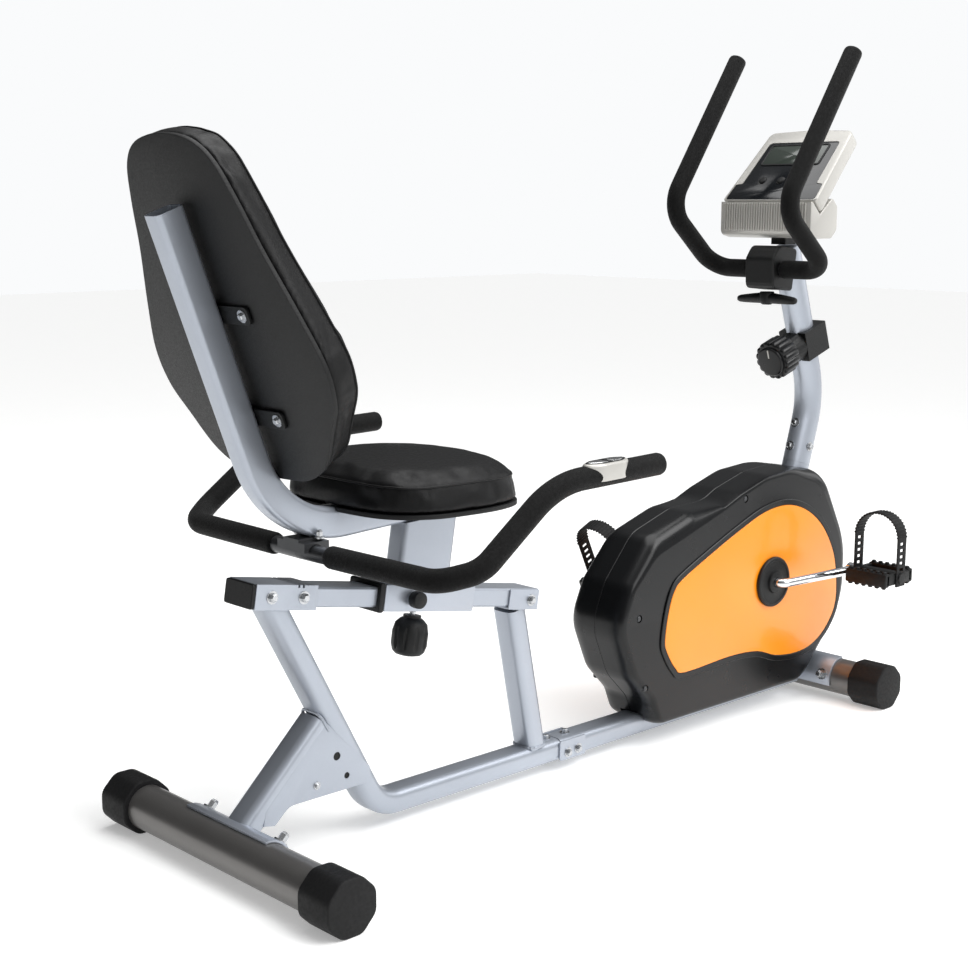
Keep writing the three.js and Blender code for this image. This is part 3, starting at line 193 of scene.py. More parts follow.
def make_materials(colours):
    """Every finish on the bike, by the name the pieces ask for."""
    m = MATERIALS
    # Metallic powder coat: a soft satin highlight over a faint orange peel about 1.5 mm across.
    m["silver"] = surface(
        "powder_coat_silver", colours.silver, darker(colours.silver, 0.9), (0.33, 0.42), 1.5, 0.012,
        Metallic=0.7, Coat_Weight=0.1, Coat_Roughness=0.25,
    )
    # The floor tubes' coat is the frame's silver paint. Its colour is darkened as painted shade, standing in
    # for the dark reflections the tubes show. It shows long streaks of light.
    m["tube"] = surface(
        "silver_paint_painted_shade", colours.tube, darker(colours.tube, 0.8), (0.28, 0.38), 1.2, 0.008,
        Metallic=0.65,
    )
    # Injection-moulded ABS, polished tool: broad glossy reflections and a slight ripple of sink.
    m["shroud"] = surface(
        "abs_moulded_gloss", colours.shroud, darker(colours.shroud, 0.85), (0.27, 0.31), 9.0, 0.004,
        IOR=1.53, Specular_IOR_Level=0.28, Coat_Weight=0.05, Coat_Roughness=0.15,
    )
    # The same ABS from a spark-eroded tool: an even fine grain that spreads the highlight.
    m["plastic"] = surface(
        "abs_moulded_grained", colours.plastic, darker(colours.plastic, 0.75), (0.42, 0.55), 0.9, 0.05,
        cells=True, IOR=1.53, Specular_IOR_Level=0.3,
    )
    # Painted and lacquered panel: clean saturated colour under a clear gloss.
    m["panel"] = surface(
        "lacquered_abs_orange", colours.panel, darker(colours.panel, 0.9), (0.3, 0.36), 5.0, 0.01,
        IOR=1.5, Coat_Weight=0.4, Coat_Roughness=0.12,
    )
    # Coated upholstery vinyl: embossed pebble grain about 2 mm across with a soft sheen.
    m["vinyl"] = surface(
        "vinyl_upholstery_pebble", colours.vinyl, darker(colours.vinyl, 0.7), (0.36, 0.5), 2.0, 0.12,
        cells=True, IOR=1.5, Specular_IOR_Level=0.22, Coat_Weight=0.03, Coat_Roughness=0.35,
    )
    # Closed-cell nitrile foam: nearly matt, with open pores at the skin.
    m["foam"] = surface(
        "nitrile_foam_sleeve", colours.foam, darker(colours.foam, 0.7), (0.62, 0.8), 1.4, 0.16,
        cells=True, IOR=1.5, Specular_IOR_Level=0.15, Sheen_Weight=0.04,
    )
    # Moulded rubber for caps, straps and belt: dull, with a bloom that lightens it in places.
    m["rubber"] = surface(
        "moulded_rubber", srgb("#0C0C0D"), srgb("#141415"), (0.55, 0.7), 1.6, 0.05, IOR=1.52,
        Specular_IOR_Level=0.25,
    )
    # Bright nickel-chrome plate on the crank.
    m["chrome"] = surface(
        "chrome_plate", srgb("#E4E6E8"), srgb("#DADCE0"), (0.06, 0.12), 8.0, 0.004, Metallic=1.0
    )
    # Zinc-plated fasteners: greyish, slightly cloudy metal.
    m["zinc"] = surface(
        "zinc_plated_steel", srgb("#C6C8CB"), srgb("#B0B2B4"), (0.2, 0.34), 1.0, 0.01, Metallic=1.0
    )
    # Dark coated steel of the bars inside the grips and of the hidden plates.
    m["dark_steel"] = surface(
        "coated_steel_dark", srgb("#4A4B4D"), srgb("#3C3D3F"), (0.3, 0.42), 1.5, 0.012, Metallic=0.7
    )
    # Turned cast iron: coarse, dull metal.
    m["iron"] = surface(
        "cast_iron_turned", srgb("#5A5B5E"), srgb("#48494B"), (0.4, 0.55), 1.2, 0.03, Metallic=0.9
    )
    # Silver paint over ABS on the console: satin, with a fine sparkle.
    m["console"] = surface(
        "silver_painted_abs", colours.console, darker(colours.console, 0.92), (0.36, 0.44), 0.8, 0.01,
        Metallic=0.35, IOR=1.5,
    )
    # Smooth dark acrylic face of the console.
    m["face"] = surface(
        "acrylic_face_black", srgb("#15181C"), srgb("#0F1114"), (0.1, 0.16), 9.0, 0.003, IOR=1.49
    )
    # Unlit liquid-crystal display: grey-green glass.
    m["display"] = surface(
        "lcd_glass_grey", srgb("#3E453F"), srgb("#363C38"), (0.08, 0.12), 9.0, 0.002, IOR=1.52
    )
    # Brushed stainless plates that read the pulse.
    m["sensor"] = surface(
        "stainless_plate", srgb("#D5D6D6"), srgb("#C4C5C6"), (0.2, 0.3), 0.9, 0.006, Metallic=1.0
    )
    # Woven tag sewn into the cushion's seam.
    m["tag"] = surface("woven_tag_red", srgb("#B3202A"), srgb("#9A1A22"), (0.7, 0.8), 0.8, 0.06, cells=True)
    # Weld bead under the powder coat: rippled.
    m["weld"] = surface(
        "weld_bead_coated", colours.silver, darker(
            colours.silver, 0.82
        ), (0.35, 0.5), 2.2, 0.15, Metallic=0.45
    )


# ------------------------------------------------------------------ shapes in millimetres
def rounded(points, steps=6):
    """A closed outline: each point is (u, v, radius), and each corner becomes an arc."""
    made = []
    for i, (u, v, radius) in enumerate(points):
        corner = Vector((u, v))
        before = Vector(points[i - 1][:2]) - corner
        after = Vector(points[(i + 1) % len(points)][:2]) - corner
        if radius <= 0:
            made.append(corner)
            continue
        half = before.angle(after) / 2
        back = min(radius / math.tan(half), 0.49 * before.length, 0.49 * after.length)
        true_radius = back * math.tan(half)
        bisector = (before.normalized() + after.normalized()).normalized()
        centre = corner + bisector * (true_radius / math.sin(half))
        start = corner + before.normalized() * back - centre
        end = corner + after.normalized() * back - centre
        turn = start.angle_signed(end)
        for k in range(steps + 1):
            a = -turn * k / steps
            made.append(centre + Matrix.Rotation(a, 2) @ start)
    return made


def rectangle(width, height, radius, steps=4):
    w, h = width / 2, height / 2
    return rounded([(-w, -h, radius), (w, -h, radius), (w, h, radius), (-w, h, radius)], steps)


def oval(width, height, sides=32):
    turns = [2 * math.pi * i / sides for i in range(sides)]
    return [Vector((width / 2 * math.cos(a), height / 2 * math.sin(a))) for a in turns]


def inset(outline, by):
    """The outline moved inwards by that much, or outwards where it is negative."""
    count = len(outline)
    area = sum(outline[i - 1].cross(outline[i]) for i in range(count))
    turn = 1 if area > 0 else -1
    moved = []
    for i, p in enumerate(outline):
        a = (p - outline[i - 1]).normalized()
        b = (outline[(i + 1) % count] - p).normalized()
        normal = (Vector((-a.y, a.x)) + Vector((-b.y, b.x))).normalized() * turn
        reach = by / max(0.5, normal.dot(Vector((-a.y, a.x)) * turn))
        moved.append(p + normal * reach)
    return moved


def stations(points, bends, steps):
    """Places and directions along straight runs whose corners are arcs of the given radii."""
    corners = [Vector(p) for p in points]
    made = [(corners[0], (corners[1] - corners[0]).normalized())]
    for here, before, after, radius in zip(corners[1:], corners, corners[2:], bends):
        u, v = (before - here).normalized(), (after - here).normalized()
        half = u.angle(v) / 2
        centre = here + (u + v).normalized() * (radius / math.sin(half))
        start = here + u * (radius / math.tan(half)) - centre
        end = here + v * (radius / math.tan(half)) - centre
        axis, whole = start.cross(end).normalized(), start.angle(end)
        for k in range(steps + 1):
            arm = Quaternion(axis, whole * k / steps) @ start
            made.append((centre + arm, axis.cross(arm).normalized()))
    made.append((corners[-1], (corners[-1] - corners[-2]).normalized()))
    return made


def sweep(section, points, bends=(), steps=8, side=(0, 1, 0), soft_end=0.0, closed=False):
    """A bar of one section along a path. soft_end rounds both ends over that length."""
    line = stations(points, bends, steps)
    scaled = [(place, along, 1.0) for place, along in line]
    if soft_end:
        first, last = line[0], line[-1]
        ends = ((0.0, 0.62), (0.12, 0.8), (0.4, 0.94), (1.0, 1.0))
        head = [(first[0] + first[1] * soft_end * d, first[1], s) for d, s in ends]
        tail = [(last[0] - last[1] * soft_end * d, last[1], s) for d, s in reversed(ends)]
        scaled = head + scaled[1:-1] + tail
    verts, faces, count = [], [], len(section)
    previous = scaled[0][1]
    side = Vector(side)
    if side.cross(previous).length < 0.1:
        side = previous.orthogonal()
    for place, along, scale in scaled:
        side = previous.rotation_difference(along) @ side
        side = (side - along * side.dot(along)).normalized()
        up = along.cross(side)
        verts += [place + (side * p.x + up * p.y) * scale for p in section]
        previous = along
    rings = len(scaled)
    for r in range(rings - 1):
        for i in range(count):
            j = (i + 1) % count
            faces.append((r * count + i, r * count + j, (r + 1) * count + j, (r + 1) * count + i))
    if not closed:
        faces.append(tuple(range(count)))
        faces.append(tuple((rings - 1) * count + i for i in range(count)))
    return verts, faces


def lathe(profile, origin, axis, segments=40):
    """A profile of (radius, height) turned about an axis. It starts and ends on the axis."""
    axis = Vector(axis).normalized()
    across = axis.orthogonal().normalized()
    other = axis.cross(across)
    origin = Vector(origin)
    verts, faces, rings = [], [], []
    for radius, height in profile:
        if radius <= 0:
            rings.append([len(verts)])
            verts.append(origin + axis * height)
            continue
        rings.append(list(range(len(verts), len(verts) + segments)))
        for i in range(segments):
            a = 2 * math.pi * i / segments
            spoke = across * math.cos(a) + other * math.sin(a)
            verts.append(origin + axis * height + spoke * radius)
    for low, high in zip(rings, rings[1:]):
        for i in range(segments):
            j = (i + 1) % segments
            loop = [low[i % len(low)], low[j % len(low)], high[j % len(high)], high[i % len(high)]]
            faces.append(tuple(dict.fromkeys(loop)))
    return verts, [f for f in faces if len(f) > 2]


SIDE = (Vector((0, 0, 0)), Vector((1, 0, 0)), Vector((0, 0, 1)), Vector((0, 1, 0)))


def slab(outline, low, high, edges=(0.0, 0.0), basis=SIDE, steps=3, open_low=False):
    """An outline given thickness from low to high, with its two edges rounded."""
    origin, u, v, w = basis
    rings = []
    turns = [math.pi / 2 * k / steps for k in range(steps + 1)]
    low_turns = turns if edges[0] else [math.pi / 2]
    high_turns = turns if edges[1] else [math.pi / 2]
    for a in low_turns:
        rings.append((edges[0] * (1 - math.sin(a)), low + edges[0] * (1 - math.cos(a))))
    for a in reversed(high_turns):
        rings.append((edges[1] * (1 - math.sin(a)), high - edges[1] * (1 - math.cos(a))))
    verts, faces, count = [], [], len(outline)
    for by, depth in rings:
        shape = inset(outline, by) if by else outline
        verts += [origin + u * p.x + v * p.y + w * depth for p in shape]
    for r in range(len(rings) - 1):
        for i in range(count):
            j = (i + 1) % count
            faces.append((r * count + i, r * count + j, (r + 1) * count + j, (r + 1) * count + i))
    if not open_low:
        faces.append(tuple(range(count)))
    faces.append(tuple((len(rings) - 1) * count + i for i in range(count)))
    return verts, faces


def brick(x, y, z, edge=1.0, basis=None):
    """A box with rounded edges; x, y and z are (low, high), along the basis or the bike's axes."""
    origin, u, v, w = basis or SIDE
    # The outline is drawn in u and v, and the thickness runs along w.
    across = rounded(
        [(x[0], z[0], edge), (x[1], z[0], edge), (x[1], z[1], edge), (x[0], z[1], edge)], 2
    )
    return slab(across, y[0], y[1], (edge * 0.8, edge * 0.8), (origin, u, v, w), 2)


def mirrored(part):
    verts, faces = part
    return [Vector((v.x, -v.y, v.z)) for v in verts], faces


def turned(part, matrix):
    verts, faces = part
    return [matrix @ v for v in verts], faces


# ------------------------------------------------------------------ pieces
def collection():
    made = bpy.data.collections.get("bike_surfaces")
    if made is None:
        made = bpy.data.collections.new("bike_surfaces")
        bpy.context.scene.collection.children.link(made)
    return made


def build(name, parts, finish, sharp=32.0):
    """One mesh object in the frame's metres from parts in millimetres, with its faces outwards."""
    mesh = bpy.data.meshes.new(name)
    bm = bmesh.new()
    for verts, faces in parts:
        corners = [bm.verts.new(row(*v)) for v in verts]
        for face in faces:
            bm.faces.new([corners[i] for i in face])
    bmesh.ops.remove_doubles(bm, verts=bm.verts, dist=1e-7)
    bmesh.ops.recalc_face_normals(bm, faces=bm.faces)
    bm.to_mesh(mesh)
    bm.free()
    made = bpy.data.objects.new(name, mesh)
    collection().objects.link(made)
    mesh.materials.append(MATERIALS[finish])
    smooth(mesh, sharp)
    return made


def smooth(mesh, sharp=32.0):
    mesh.polygons.foreach_set("use_smooth", [True] * len(mesh.polygons))
    mesh.set_sharp_from_angle(angle=math.radians(sharp))


def bake(piece):
    """The piece's modifiers made into its plain mesh."""
    graph = bpy.context.evaluated_depsgraph_get()
    finish = list(piece.data.materials)
    plain = bpy.data.meshes.new_from_object(piece.evaluated_get(graph))
    piece.modifiers.clear()
    piece.data = plain
    if not plain.materials:
        for material in finish:
            plain.materials.append(material)
    return piece


def carve(piece, cutters, sharp=32.0):
    """Cuts solid parts out of a piece."""
    tool = build(piece.name + "_cutter", cutters, "plastic")
    cut = piece.modifiers.new("cut", "BOOLEAN")
    cut.operation = "DIFFERENCE"
    cut.solver = "EXACT"
    cut.object = tool
    bake(piece)
    bpy.data.objects.remove(tool)
    smooth(piece.data, sharp)
    return piece


def install(piece, body, material_slot, *nodes):
    """Puts a finished piece on its body, in place of the frame's own nodes."""
    if nodes:
        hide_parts(*nodes)
    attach(piece, body)
    return piece


def dress(node, finish):
    """A new finish on a node whose own shape is kept."""
    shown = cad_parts[node]
    shown.data.materials.clear()
    shown.data.materials.append(MATERIALS[finish])


def refine(node, finish, edge=0.8):
    """A new finish on a node, with its hard edges eased by a live bevel."""
    dress(node, finish)
    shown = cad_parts[node]
    weld = shown.modifiers.new("weld", "WELD")
    weld.merge_threshold = 0.01 * MM
    ease = shown.modifiers.new("ease", "BEVEL")
    ease.width = edge * MM
    ease.segments = 2
    ease.limit_method = "ANGLE"
    ease.angle_limit = math.radians(38)


def spline(points, steps=6):
    """A smooth closed curve through 2-D points."""
    made, count = [], len(points)
    for i in range(count):
        a, b, c, d = (Vector(points[(i + k - 1) % count]) for k in range(4))
        for k in range(steps):
            t = k / steps
            made.append(
                0.5 * (
                    2 * b + (c - a) * t + (
                        2 * a - 5 * b + 4 * c - d
                    ) * t**2 + (3 * b - a - 3 * c + d) * t**3
                )
            )
    return made


def bead(points, radius, sides=8, ripple=0.0):
    """A closed round cord through 3-D points, such as piping or a weld."""
    verts, faces, count = [], [], len(points)
    side = Vector((0, 0, 1))
    for i, p in enumerate(points):
        along = (points[(i + 1) % count] - points[i - 1]).normalized()
        side = side - along * side.dot(along)
        if side.length < 0.05:
            side = along.orthogonal()
        side.normalize()
        up = along.cross(side)
        r = radius * (1 + ripple * (-1) ** i)
        for k in range(sides):
            a = 2 * math.pi * k / sides
            verts.append(p + side * (r * math.cos(a)) + up * (r * math.sin(a)))
    # The last ring meets the first at the vertex that lies nearest, so the cord isn't twisted.
    shift = min(range(sides), key=lambda k: (verts[(count - 1) * sides] - verts[k]).length)
    for r in range(count):
        for k in range(sides):
            j = (k + 1) % sides
            low = r * sides
            high = (r + 1) * sides
            if r == count - 1:
                faces.append((low + k, low + j, (j + shift) % sides, (k + shift) % sides))
            else:
                faces.append((low + k, low + j, high + j, high + k))
    return verts, faces


def trim_loop(section, start, along, normal, offset, side=(0, 1, 0), spacing=3.0):
    """Where a bar's surface meets a flat face: a loop of points about spacing apart."""
    start, along, normal, side = map(Vector, (start, along, normal, side))
    up = along.cross(side)
    loop = []
    for p in section:
        q = start + side * p.x + up * p.y
        loop.append(q + along * ((offset - q.dot(normal)) / along.dot(normal)))
    spaced = []
    for a, b in zip(loop, loop[1:] + loop[:1]):
        pieces = max(1, round((b - a).length / spacing))
        spaced += [a.lerp(b, k / pieces) for k in range(pieces)]
    return spaced


# ------------------------------------------------------------------ repeated small pieces
def node_tree(name, sockets):
    """A geometry tree with named inputs: {name: (socket type, default)}."""
    tree = bpy.data.node_groups.new(name, "GeometryNodeTree")
    tree.interface.new_socket("Geometry", in_out="INPUT", socket_type="NodeSocketGeometry")
    for label, (kind, default) in sockets.items():
        made = tree.interface.new_socket(label, in_out="INPUT", socket_type=kind)
        if default is not None:
            made.default_value = default
    tree.interface.new_socket("Geometry", in_out="OUTPUT", socket_type="NodeSocketGeometry")
    return tree


def finish_tree(tree, source, group_input, output_input="Geometry"):
    real = add_node(tree, "GeometryNodeRealizeInstances", {"Geometry": source})
    painted = add_node(
        tree,
        "GeometryNodeSetMaterial",
        {"Geometry": real.outputs["Geometry"], "Material": group_input.outputs["Material"]},
    )
    add_node(tree, "NodeGroupOutput", {output_input: painted.outputs["Geometry"]})


def screw_tree():
    """A washer and a chamfered head on every point, standing along the point's own direction."""
    tree = node_tree(
        "screw_heads",
        {
            "Radius": ("NodeSocketFloat", 0.006),
            "Height": ("NodeSocketFloat", 0.005),
            "Sides": ("NodeSocketInt", 6),
            "Washer": ("NodeSocketFloat", 0.009),
            "Material": ("NodeSocketMaterial", None),
        },
    )
    given = add_node(tree, "NodeGroupInput").outputs
    body = add_node(
        tree,
        "GeometryNodeMeshCylinder",
        {"Vertices": given["Sides"], "Radius": given["Radius"], "Depth": given["Height"]},
    )
    half = add_node(tree, "ShaderNodeMath", {0: given["Height"], 1: 0.5}, operation="MULTIPLY")
    lift = add_node(tree, "ShaderNodeCombineXYZ", {"Z": half.outputs[0]})
    raised = add_node(
        tree,
        "GeometryNodeTransform",
        {"Geometry": body.outputs["Mesh"], "Translation": lift.outputs[0]},
    )
    narrow = add_node(tree, "ShaderNodeMath", {0: given["Radius"], 1: 0.72}, operation="MULTIPLY")
    crown_height = add_node(tree, "ShaderNodeMath", {0: given["Height"], 1: 0.35}, operation="MULTIPLY")
    crown = add_node(
        tree,
        "GeometryNodeMeshCone",
        {
            "Vertices": given["Sides"],
            "Radius Top": narrow.outputs[0],
            "Radius Bottom": given["Radius"],
            "Depth": crown_height.outputs[0],
        },
    )
    top = add_node(tree, "ShaderNodeCombineXYZ", {"Z": given["Height"]})
    crowned = add_node(
        tree,
        "GeometryNodeTransform",
        {"Geometry": crown.outputs["Mesh"], "Translation": top.outputs[0]},
    )
    washer = add_node(
        tree,
        "GeometryNodeMeshCylinder",
        {"Vertices": 24, "Radius": given["Washer"], "Depth": 0.0024},
    )
    head = add_node(tree, "GeometryNodeJoinGeometry")
    for part in (raised.outputs["Geometry"], crowned.outputs["Geometry"], washer.outputs["Mesh"]):
        tree.links.new(part, head.inputs["Geometry"])
    facing = add_node(tree, "GeometryNodeInputNamedAttribute", {"Name": "facing"}, data_type="FLOAT_VECTOR")
    aim = add_node(
        tree,
        "FunctionNodeAlignRotationToVector",
        {"Vector": facing.outputs["Attribute"]},
        axis="Z",
    )
    placed = add_node(
        tree,
        "GeometryNodeInstanceOnPoints",
        {
            "Points": given["Geometry"],
            "Instance": head.outputs["Geometry"],
            "Rotation": aim.outputs["Rotation"],
        },
    )
    finish_tree(tree, placed.outputs["Instances"], add_node(tree, "NodeGroupInput"))
    return tree


def row_tree():
    """Copies of the given shape in a straight row."""
    tree = node_tree(
        "row_of_copies",
        {
            "Count": ("NodeSocketInt", 10),
            "Step": ("NodeSocketVector", None),
            "Start": ("NodeSocketVector", None),
            "Material": ("NodeSocketMaterial", None),
        },
    )
    given = add_node(tree, "NodeGroupInput").outputs
    line = add_node(
        tree,
        "GeometryNodeMeshLine",
        {"Count": given["Count"], "Start Location": given["Start"], "Offset": given["Step"]},
    )
    placed = add_node(
        tree,
        "GeometryNodeInstanceOnPoints",
        {"Points": line.outputs["Mesh"], "Instance": given["Geometry"]},
    )
    finish_tree(tree, placed.outputs["Instances"], add_node(tree, "NodeGroupInput"))
    return tree


def run_tree(piece, tree, values):
    """Runs a geometry tree on a piece with its inputs set, and keeps the plain result."""
    step = piece.modifiers.new("nodes", "NODES")
    step.node_group = tree
    for item in tree.interface.items_tree:
        if item.item_type == "SOCKET" and item.in_out == "INPUT" and item.name in values:
            step[item.identifier] = values[item.name]
    piece.update_tag()
    bake(piece)
    smooth(piece.data, 30)
    return piece


def screws(name, body, spots, radius=5.5, height=5.0, sides=6, washer=8.5, finish="zinc"):
    """Screw heads: each spot is (place in mm, outward direction)."""
    mesh = bpy.data.meshes.new(name)
    mesh.from_pydata([row(*place) for place, _ in spots], [], [])
    facing = mesh.attributes.new("facing", "FLOAT_VECTOR", "POINT")
    facing.data.foreach_set("vector", [c for _, way in spots for c in Vector(way).normalized()])
    piece = bpy.data.objects.new(name, mesh)
    collection().objects.link(piece)
    tree = bpy.data.node_groups.get("screw_heads") or screw_tree()
    run_tree(
        piece,
        tree,
        {
            "Radius": radius * MM,
            "Height": height * MM,
            "Sides": sides,
            "Washer": washer * MM,
            "Material": MATERIALS[finish],
        },
    )
    return install(piece, body, "chrome_steel")


# ------------------------------------------------------------------ driving places, in millimetres
WHEELBASE = 1355
CAP_RADIUS, CAP_LENGTH = 41, 66
TUBE_RADIUS = 34
FRAME_SECTION = rectangle(48, 38, 13, 5)
REAR_PATH = [(71, 0, 395), (262.7, 0, 36), (654, 0, 36)]
REAR_BEND = 65
LEG_START, LEG_ALONG = (24, 0, 64), (0.7208, 0, 0.6931)
DIAGONAL_NORMAL = (0.8817, 0, 0.4718)

BRACKETS_UP = (("upper", 744), ("lower", 592))

TILT = math.radians(9.6)
RAIL = (
    Vector((34, 0, 406)),
    Vector((math.cos(TILT), 0, -math.sin(TILT))),
    Vector((math.sin(TILT), 0, math.cos(TILT))),
    Vector((0, 1, 0)),
)
PIN_X, CLAMP_X = 323, 285

SEAT_TOP, SEAT_CORNER = Vector((-71.4, 0, 931.6)), Vector((95.6, 0, 480.9))
SEAT_RISE = math.radians(3)
SEAT_FRONT = SEAT_CORNER + Vector((math.cos(SEAT_RISE), 0, math.sin(SEAT_RISE))) * 334
SEAT_HALF_DEPTH = 22.5
SEAT_SECTION = rectangle(36, 2 * SEAT_HALF_DEPTH, 8, 5)
BACK_UP = (SEAT_TOP - SEAT_CORNER).normalized()
BACK_OUT = Vector((BACK_UP.z, 0, -BACK_UP.x))
BACK = (BACK_OUT * (SEAT_TOP.dot(BACK_OUT) + SEAT_HALF_DEPTH), Vector((0, 1, 0)), BACK_UP, BACK_OUT)

CRANK = Vector((1172, 0, 252))
CRANK_LENGTH, CRANK_ANGLE = 172, math.radians(2)
PEDAL_Y = 180
PEDAL_LEAN = math.radians(-25)
SEAT_GRIP = ((332, 318, 566), (540, 319, 571))

MAST_FOOT, MAST_KNEE = Vector((1194, 0, 38)), Vector((1360, 0, 580))
MAST_TOP = Vector((1264, 0, 862))
MAST_ALONG = (MAST_KNEE - MAST_FOOT).normalized()
MAST_JOINT = MAST_FOOT + MAST_ALONG * ((452 - MAST_FOOT.z) / MAST_ALONG.z)
MAST_UP = (MAST_TOP - MAST_KNEE).normalized()
MAST_BACK = Vector((-MAST_UP.z, 0, MAST_UP.x))
BAR = Vector((1212, 0, 822))

FACE_UP = Vector((math.sqrt(0.5), 0, math.sqrt(0.5)))
FACE_OUT = Vector((-FACE_UP.z, 0, FACE_UP.x))
CONSOLE = (Vector((1205, 0, 945)), Vector((0, -1, 0)), FACE_UP, FACE_OUT)


def on(basis, u, v, w=0.0):
    """A place given along a basis."""
    origin, a, b, c = basis
    return origin + a * u + b * v + c * w


def sides():
    return (("left", 1), ("right", -1))


class Step:
    """What every operator of the bike shares."""

    bl_options = {"REGISTER"}

    @property
    def sizes(self):
        return bpy.context.scene.bike_sizes

    @property
    def colours(self):
        return bpy.context.scene.bike_colours


# ------------------------------------------------------------------ operators
class BIKE_OT_materials(Step, bpy.types.Operator):
    """Makes every finish, and dresses the frame's own nodes that keep their shape"""

    bl_idname = "bike.materials"
    bl_label = "Finishes"

    def execute(self, context):
        make_materials(self.colours)
        kept = {
            "silver": ("seat_rail", "rail_rear_bracket", "rail_front_bracket"),
            "plastic": ("rail_end_cap", "console_neck", "drive_pulley", "tension_bracket"),
            "dark_steel": ("seat_base_plate", "seat_handlebar_clamp", "magnet_bracket"),
            "iron": ("flywheel",),
            "rubber": ("drive_belt",),
        }
        for finish, nodes in kept.items():
            for node in nodes:
                refine(node, finish)
        return {"FINISHED"}


class BIKE_OT_stabilisers(Step, bpy.types.Operator):
    """Floor tubes with their rubber end caps"""

    bl_idname = "bike.stabilisers"
    bl_label = "Stabilisers"

    def execute(self, context):
        for place, x, half in (("rear", 0, 281), ("front", WHEELBASE, 207)):
            reach = half - 9
            tube = lathe(
                [(0, -reach), (TUBE_RADIUS, -reach), (TUBE_RADIUS, reach), (0, reach)],
                (x, 0, CAP_RADIUS), (0, 1, 0), 64,
            )
            node = place + "_stabiliser_tube"
            install(build(node + "_finish", [tube], "tube"), "frame", "silver_paint", node)
            for hand, sign in sides():
                node = place + "_stabiliser_cap_" + hand
                piece = build(node + "_finish", [self.cap(x, half, sign)], "rubber", 40)
                install(piece, "frame", "rubber_black", node)
        return {"FINISHED"}

    def cap(self, x, half, sign):
        reach = CAP_RADIUS / math.cos(math.radians(22.5))
        turns = [math.radians(22.5 + 45 * i) for i in range(8)]
        outline = rounded([(reach * math.cos(a), reach * math.sin(a), 20) for a in turns], 4)
        basis = (Vector((x, 0, CAP_RADIUS)), SIDE[1], SIDE[2], Vector((0, sign, 0)))
        return slab(outline, half - CAP_LENGTH, half, (2.5, 3), basis, 4)


class BIKE_OT_rear_frame(Step, bpy.types.Operator):
    """The bent rear tube, the leg with its gussets and saddle, the seat post and their welds"""

    bl_idname = "bike.rear_frame"
    bl_label = "Rear frame"

    def execute(self, context):
        tube = sweep(FRAME_SECTION, REAR_PATH, (REAR_BEND,), 14)
        piece = build("rear_frame_tube_finish", [tube], "silver")
        # The tube stops under the rail's rear bracket.
        above = brick((-60, 170), (-60, 60), (-18.6, 90), 0.0, RAIL)
        install(carve(piece, [above]), "frame", "silver_paint", "rear_frame_tube")

        leg_end = Vector(LEG_START) + Vector(LEG_ALONG) * 186
        leg = sweep(FRAME_SECTION, [LEG_START, leg_end])
        arc = [math.radians(-6 + 104 * k / 16) for k in range(17)]
        saddle = [Vector((38.3 * math.cos(a), 38.3 * math.sin(a))) for a in arc]
        saddle += [Vector((34.3 * math.cos(a), 34.3 * math.sin(a))) for a in reversed(arc)]
        basis = (Vector((0, 0, CAP_RADIUS)), *SIDE[1:])
        plates = []
        outline = rounded(
            [
                (160, 195, 0), (48, 87, 0), (44, 66, 0), (64, 62, 5), (90, 85, 26), (240, 85, 0),
                (240, 110, 0)
            ]
        )
        for _, sign in sides():
            low, high = sorted((sign * 20, sign * 24.2))
            plates.append(slab(outline, low, high, (0.6, 0.6)))
        parts = [leg, slab(saddle, -98, 98, (0.8, 0.8), basis, 2), *plates]
        piece = build("rear_leg_finish", parts, "silver")
        holes = [(178, 140, 6.5), (196, 106, 5), (140, 104, 3)]
        drills = [
            lathe([(0, -50), (r, -50), (r, 50), (0, 50)], (x, 0, z), (0, 1, 0), 24)
            for x, z, r in holes
        ]
        install(carve(piece, drills), "frame", "silver_paint", "rear_leg")

        plugs = [
            lathe([(0, -23), (r - 0.1, -23), (r - 0.1, 23), (0, 23)], (x, 0, z), (0, 1, 0), 24)
            for x, z, r in holes[:2]
        ]
        install(build("gusset_hole_plugs", plugs, "plastic"), "frame", "black_plastic")

        post = sweep(FRAME_SECTION, [(603, 0, 52), (554, 0, 297)])
        install(
            build("seat_support_post_finish", [post], "silver"), "frame", "silver_paint",
            "seat_support_post"
        )

        section = rectangle(48, 38, 13, 4)
        normal = Vector(DIAGONAL_NORMAL)
        back_face = Vector(REAR_PATH[0]).dot(normal) - 19
        welds = [
            bead(trim_loop(section, LEG_START, LEG_ALONG, normal, back_face), 2.4, ripple=0.14),
            bead(trim_loop(section, (603, 0, 52), (-0.196, 0, 0.981), (0, 0, 1), 55), 2.6, ripple=0.14),
            bead(
                trim_loop(
                    section, (554, 0, 297), (-0.196, 0, 0.981), RAIL[2], RAIL[0].dot(RAIL[2]) - 18.8
                ),
                2.2, ripple=0.14
            ),
            bead(
                trim_loop(
                    section, REAR_PATH[0], (0.4708, 0, -0.8822), RAIL[2], RAIL[0].dot(RAIL[2]) - 18.8
                ),
                2.2, ripple=0.14
            ),
        ]
        install(build("frame_weld_beads", welds, "weld"), "frame", "silver_paint")
        return {"FINISHED"}


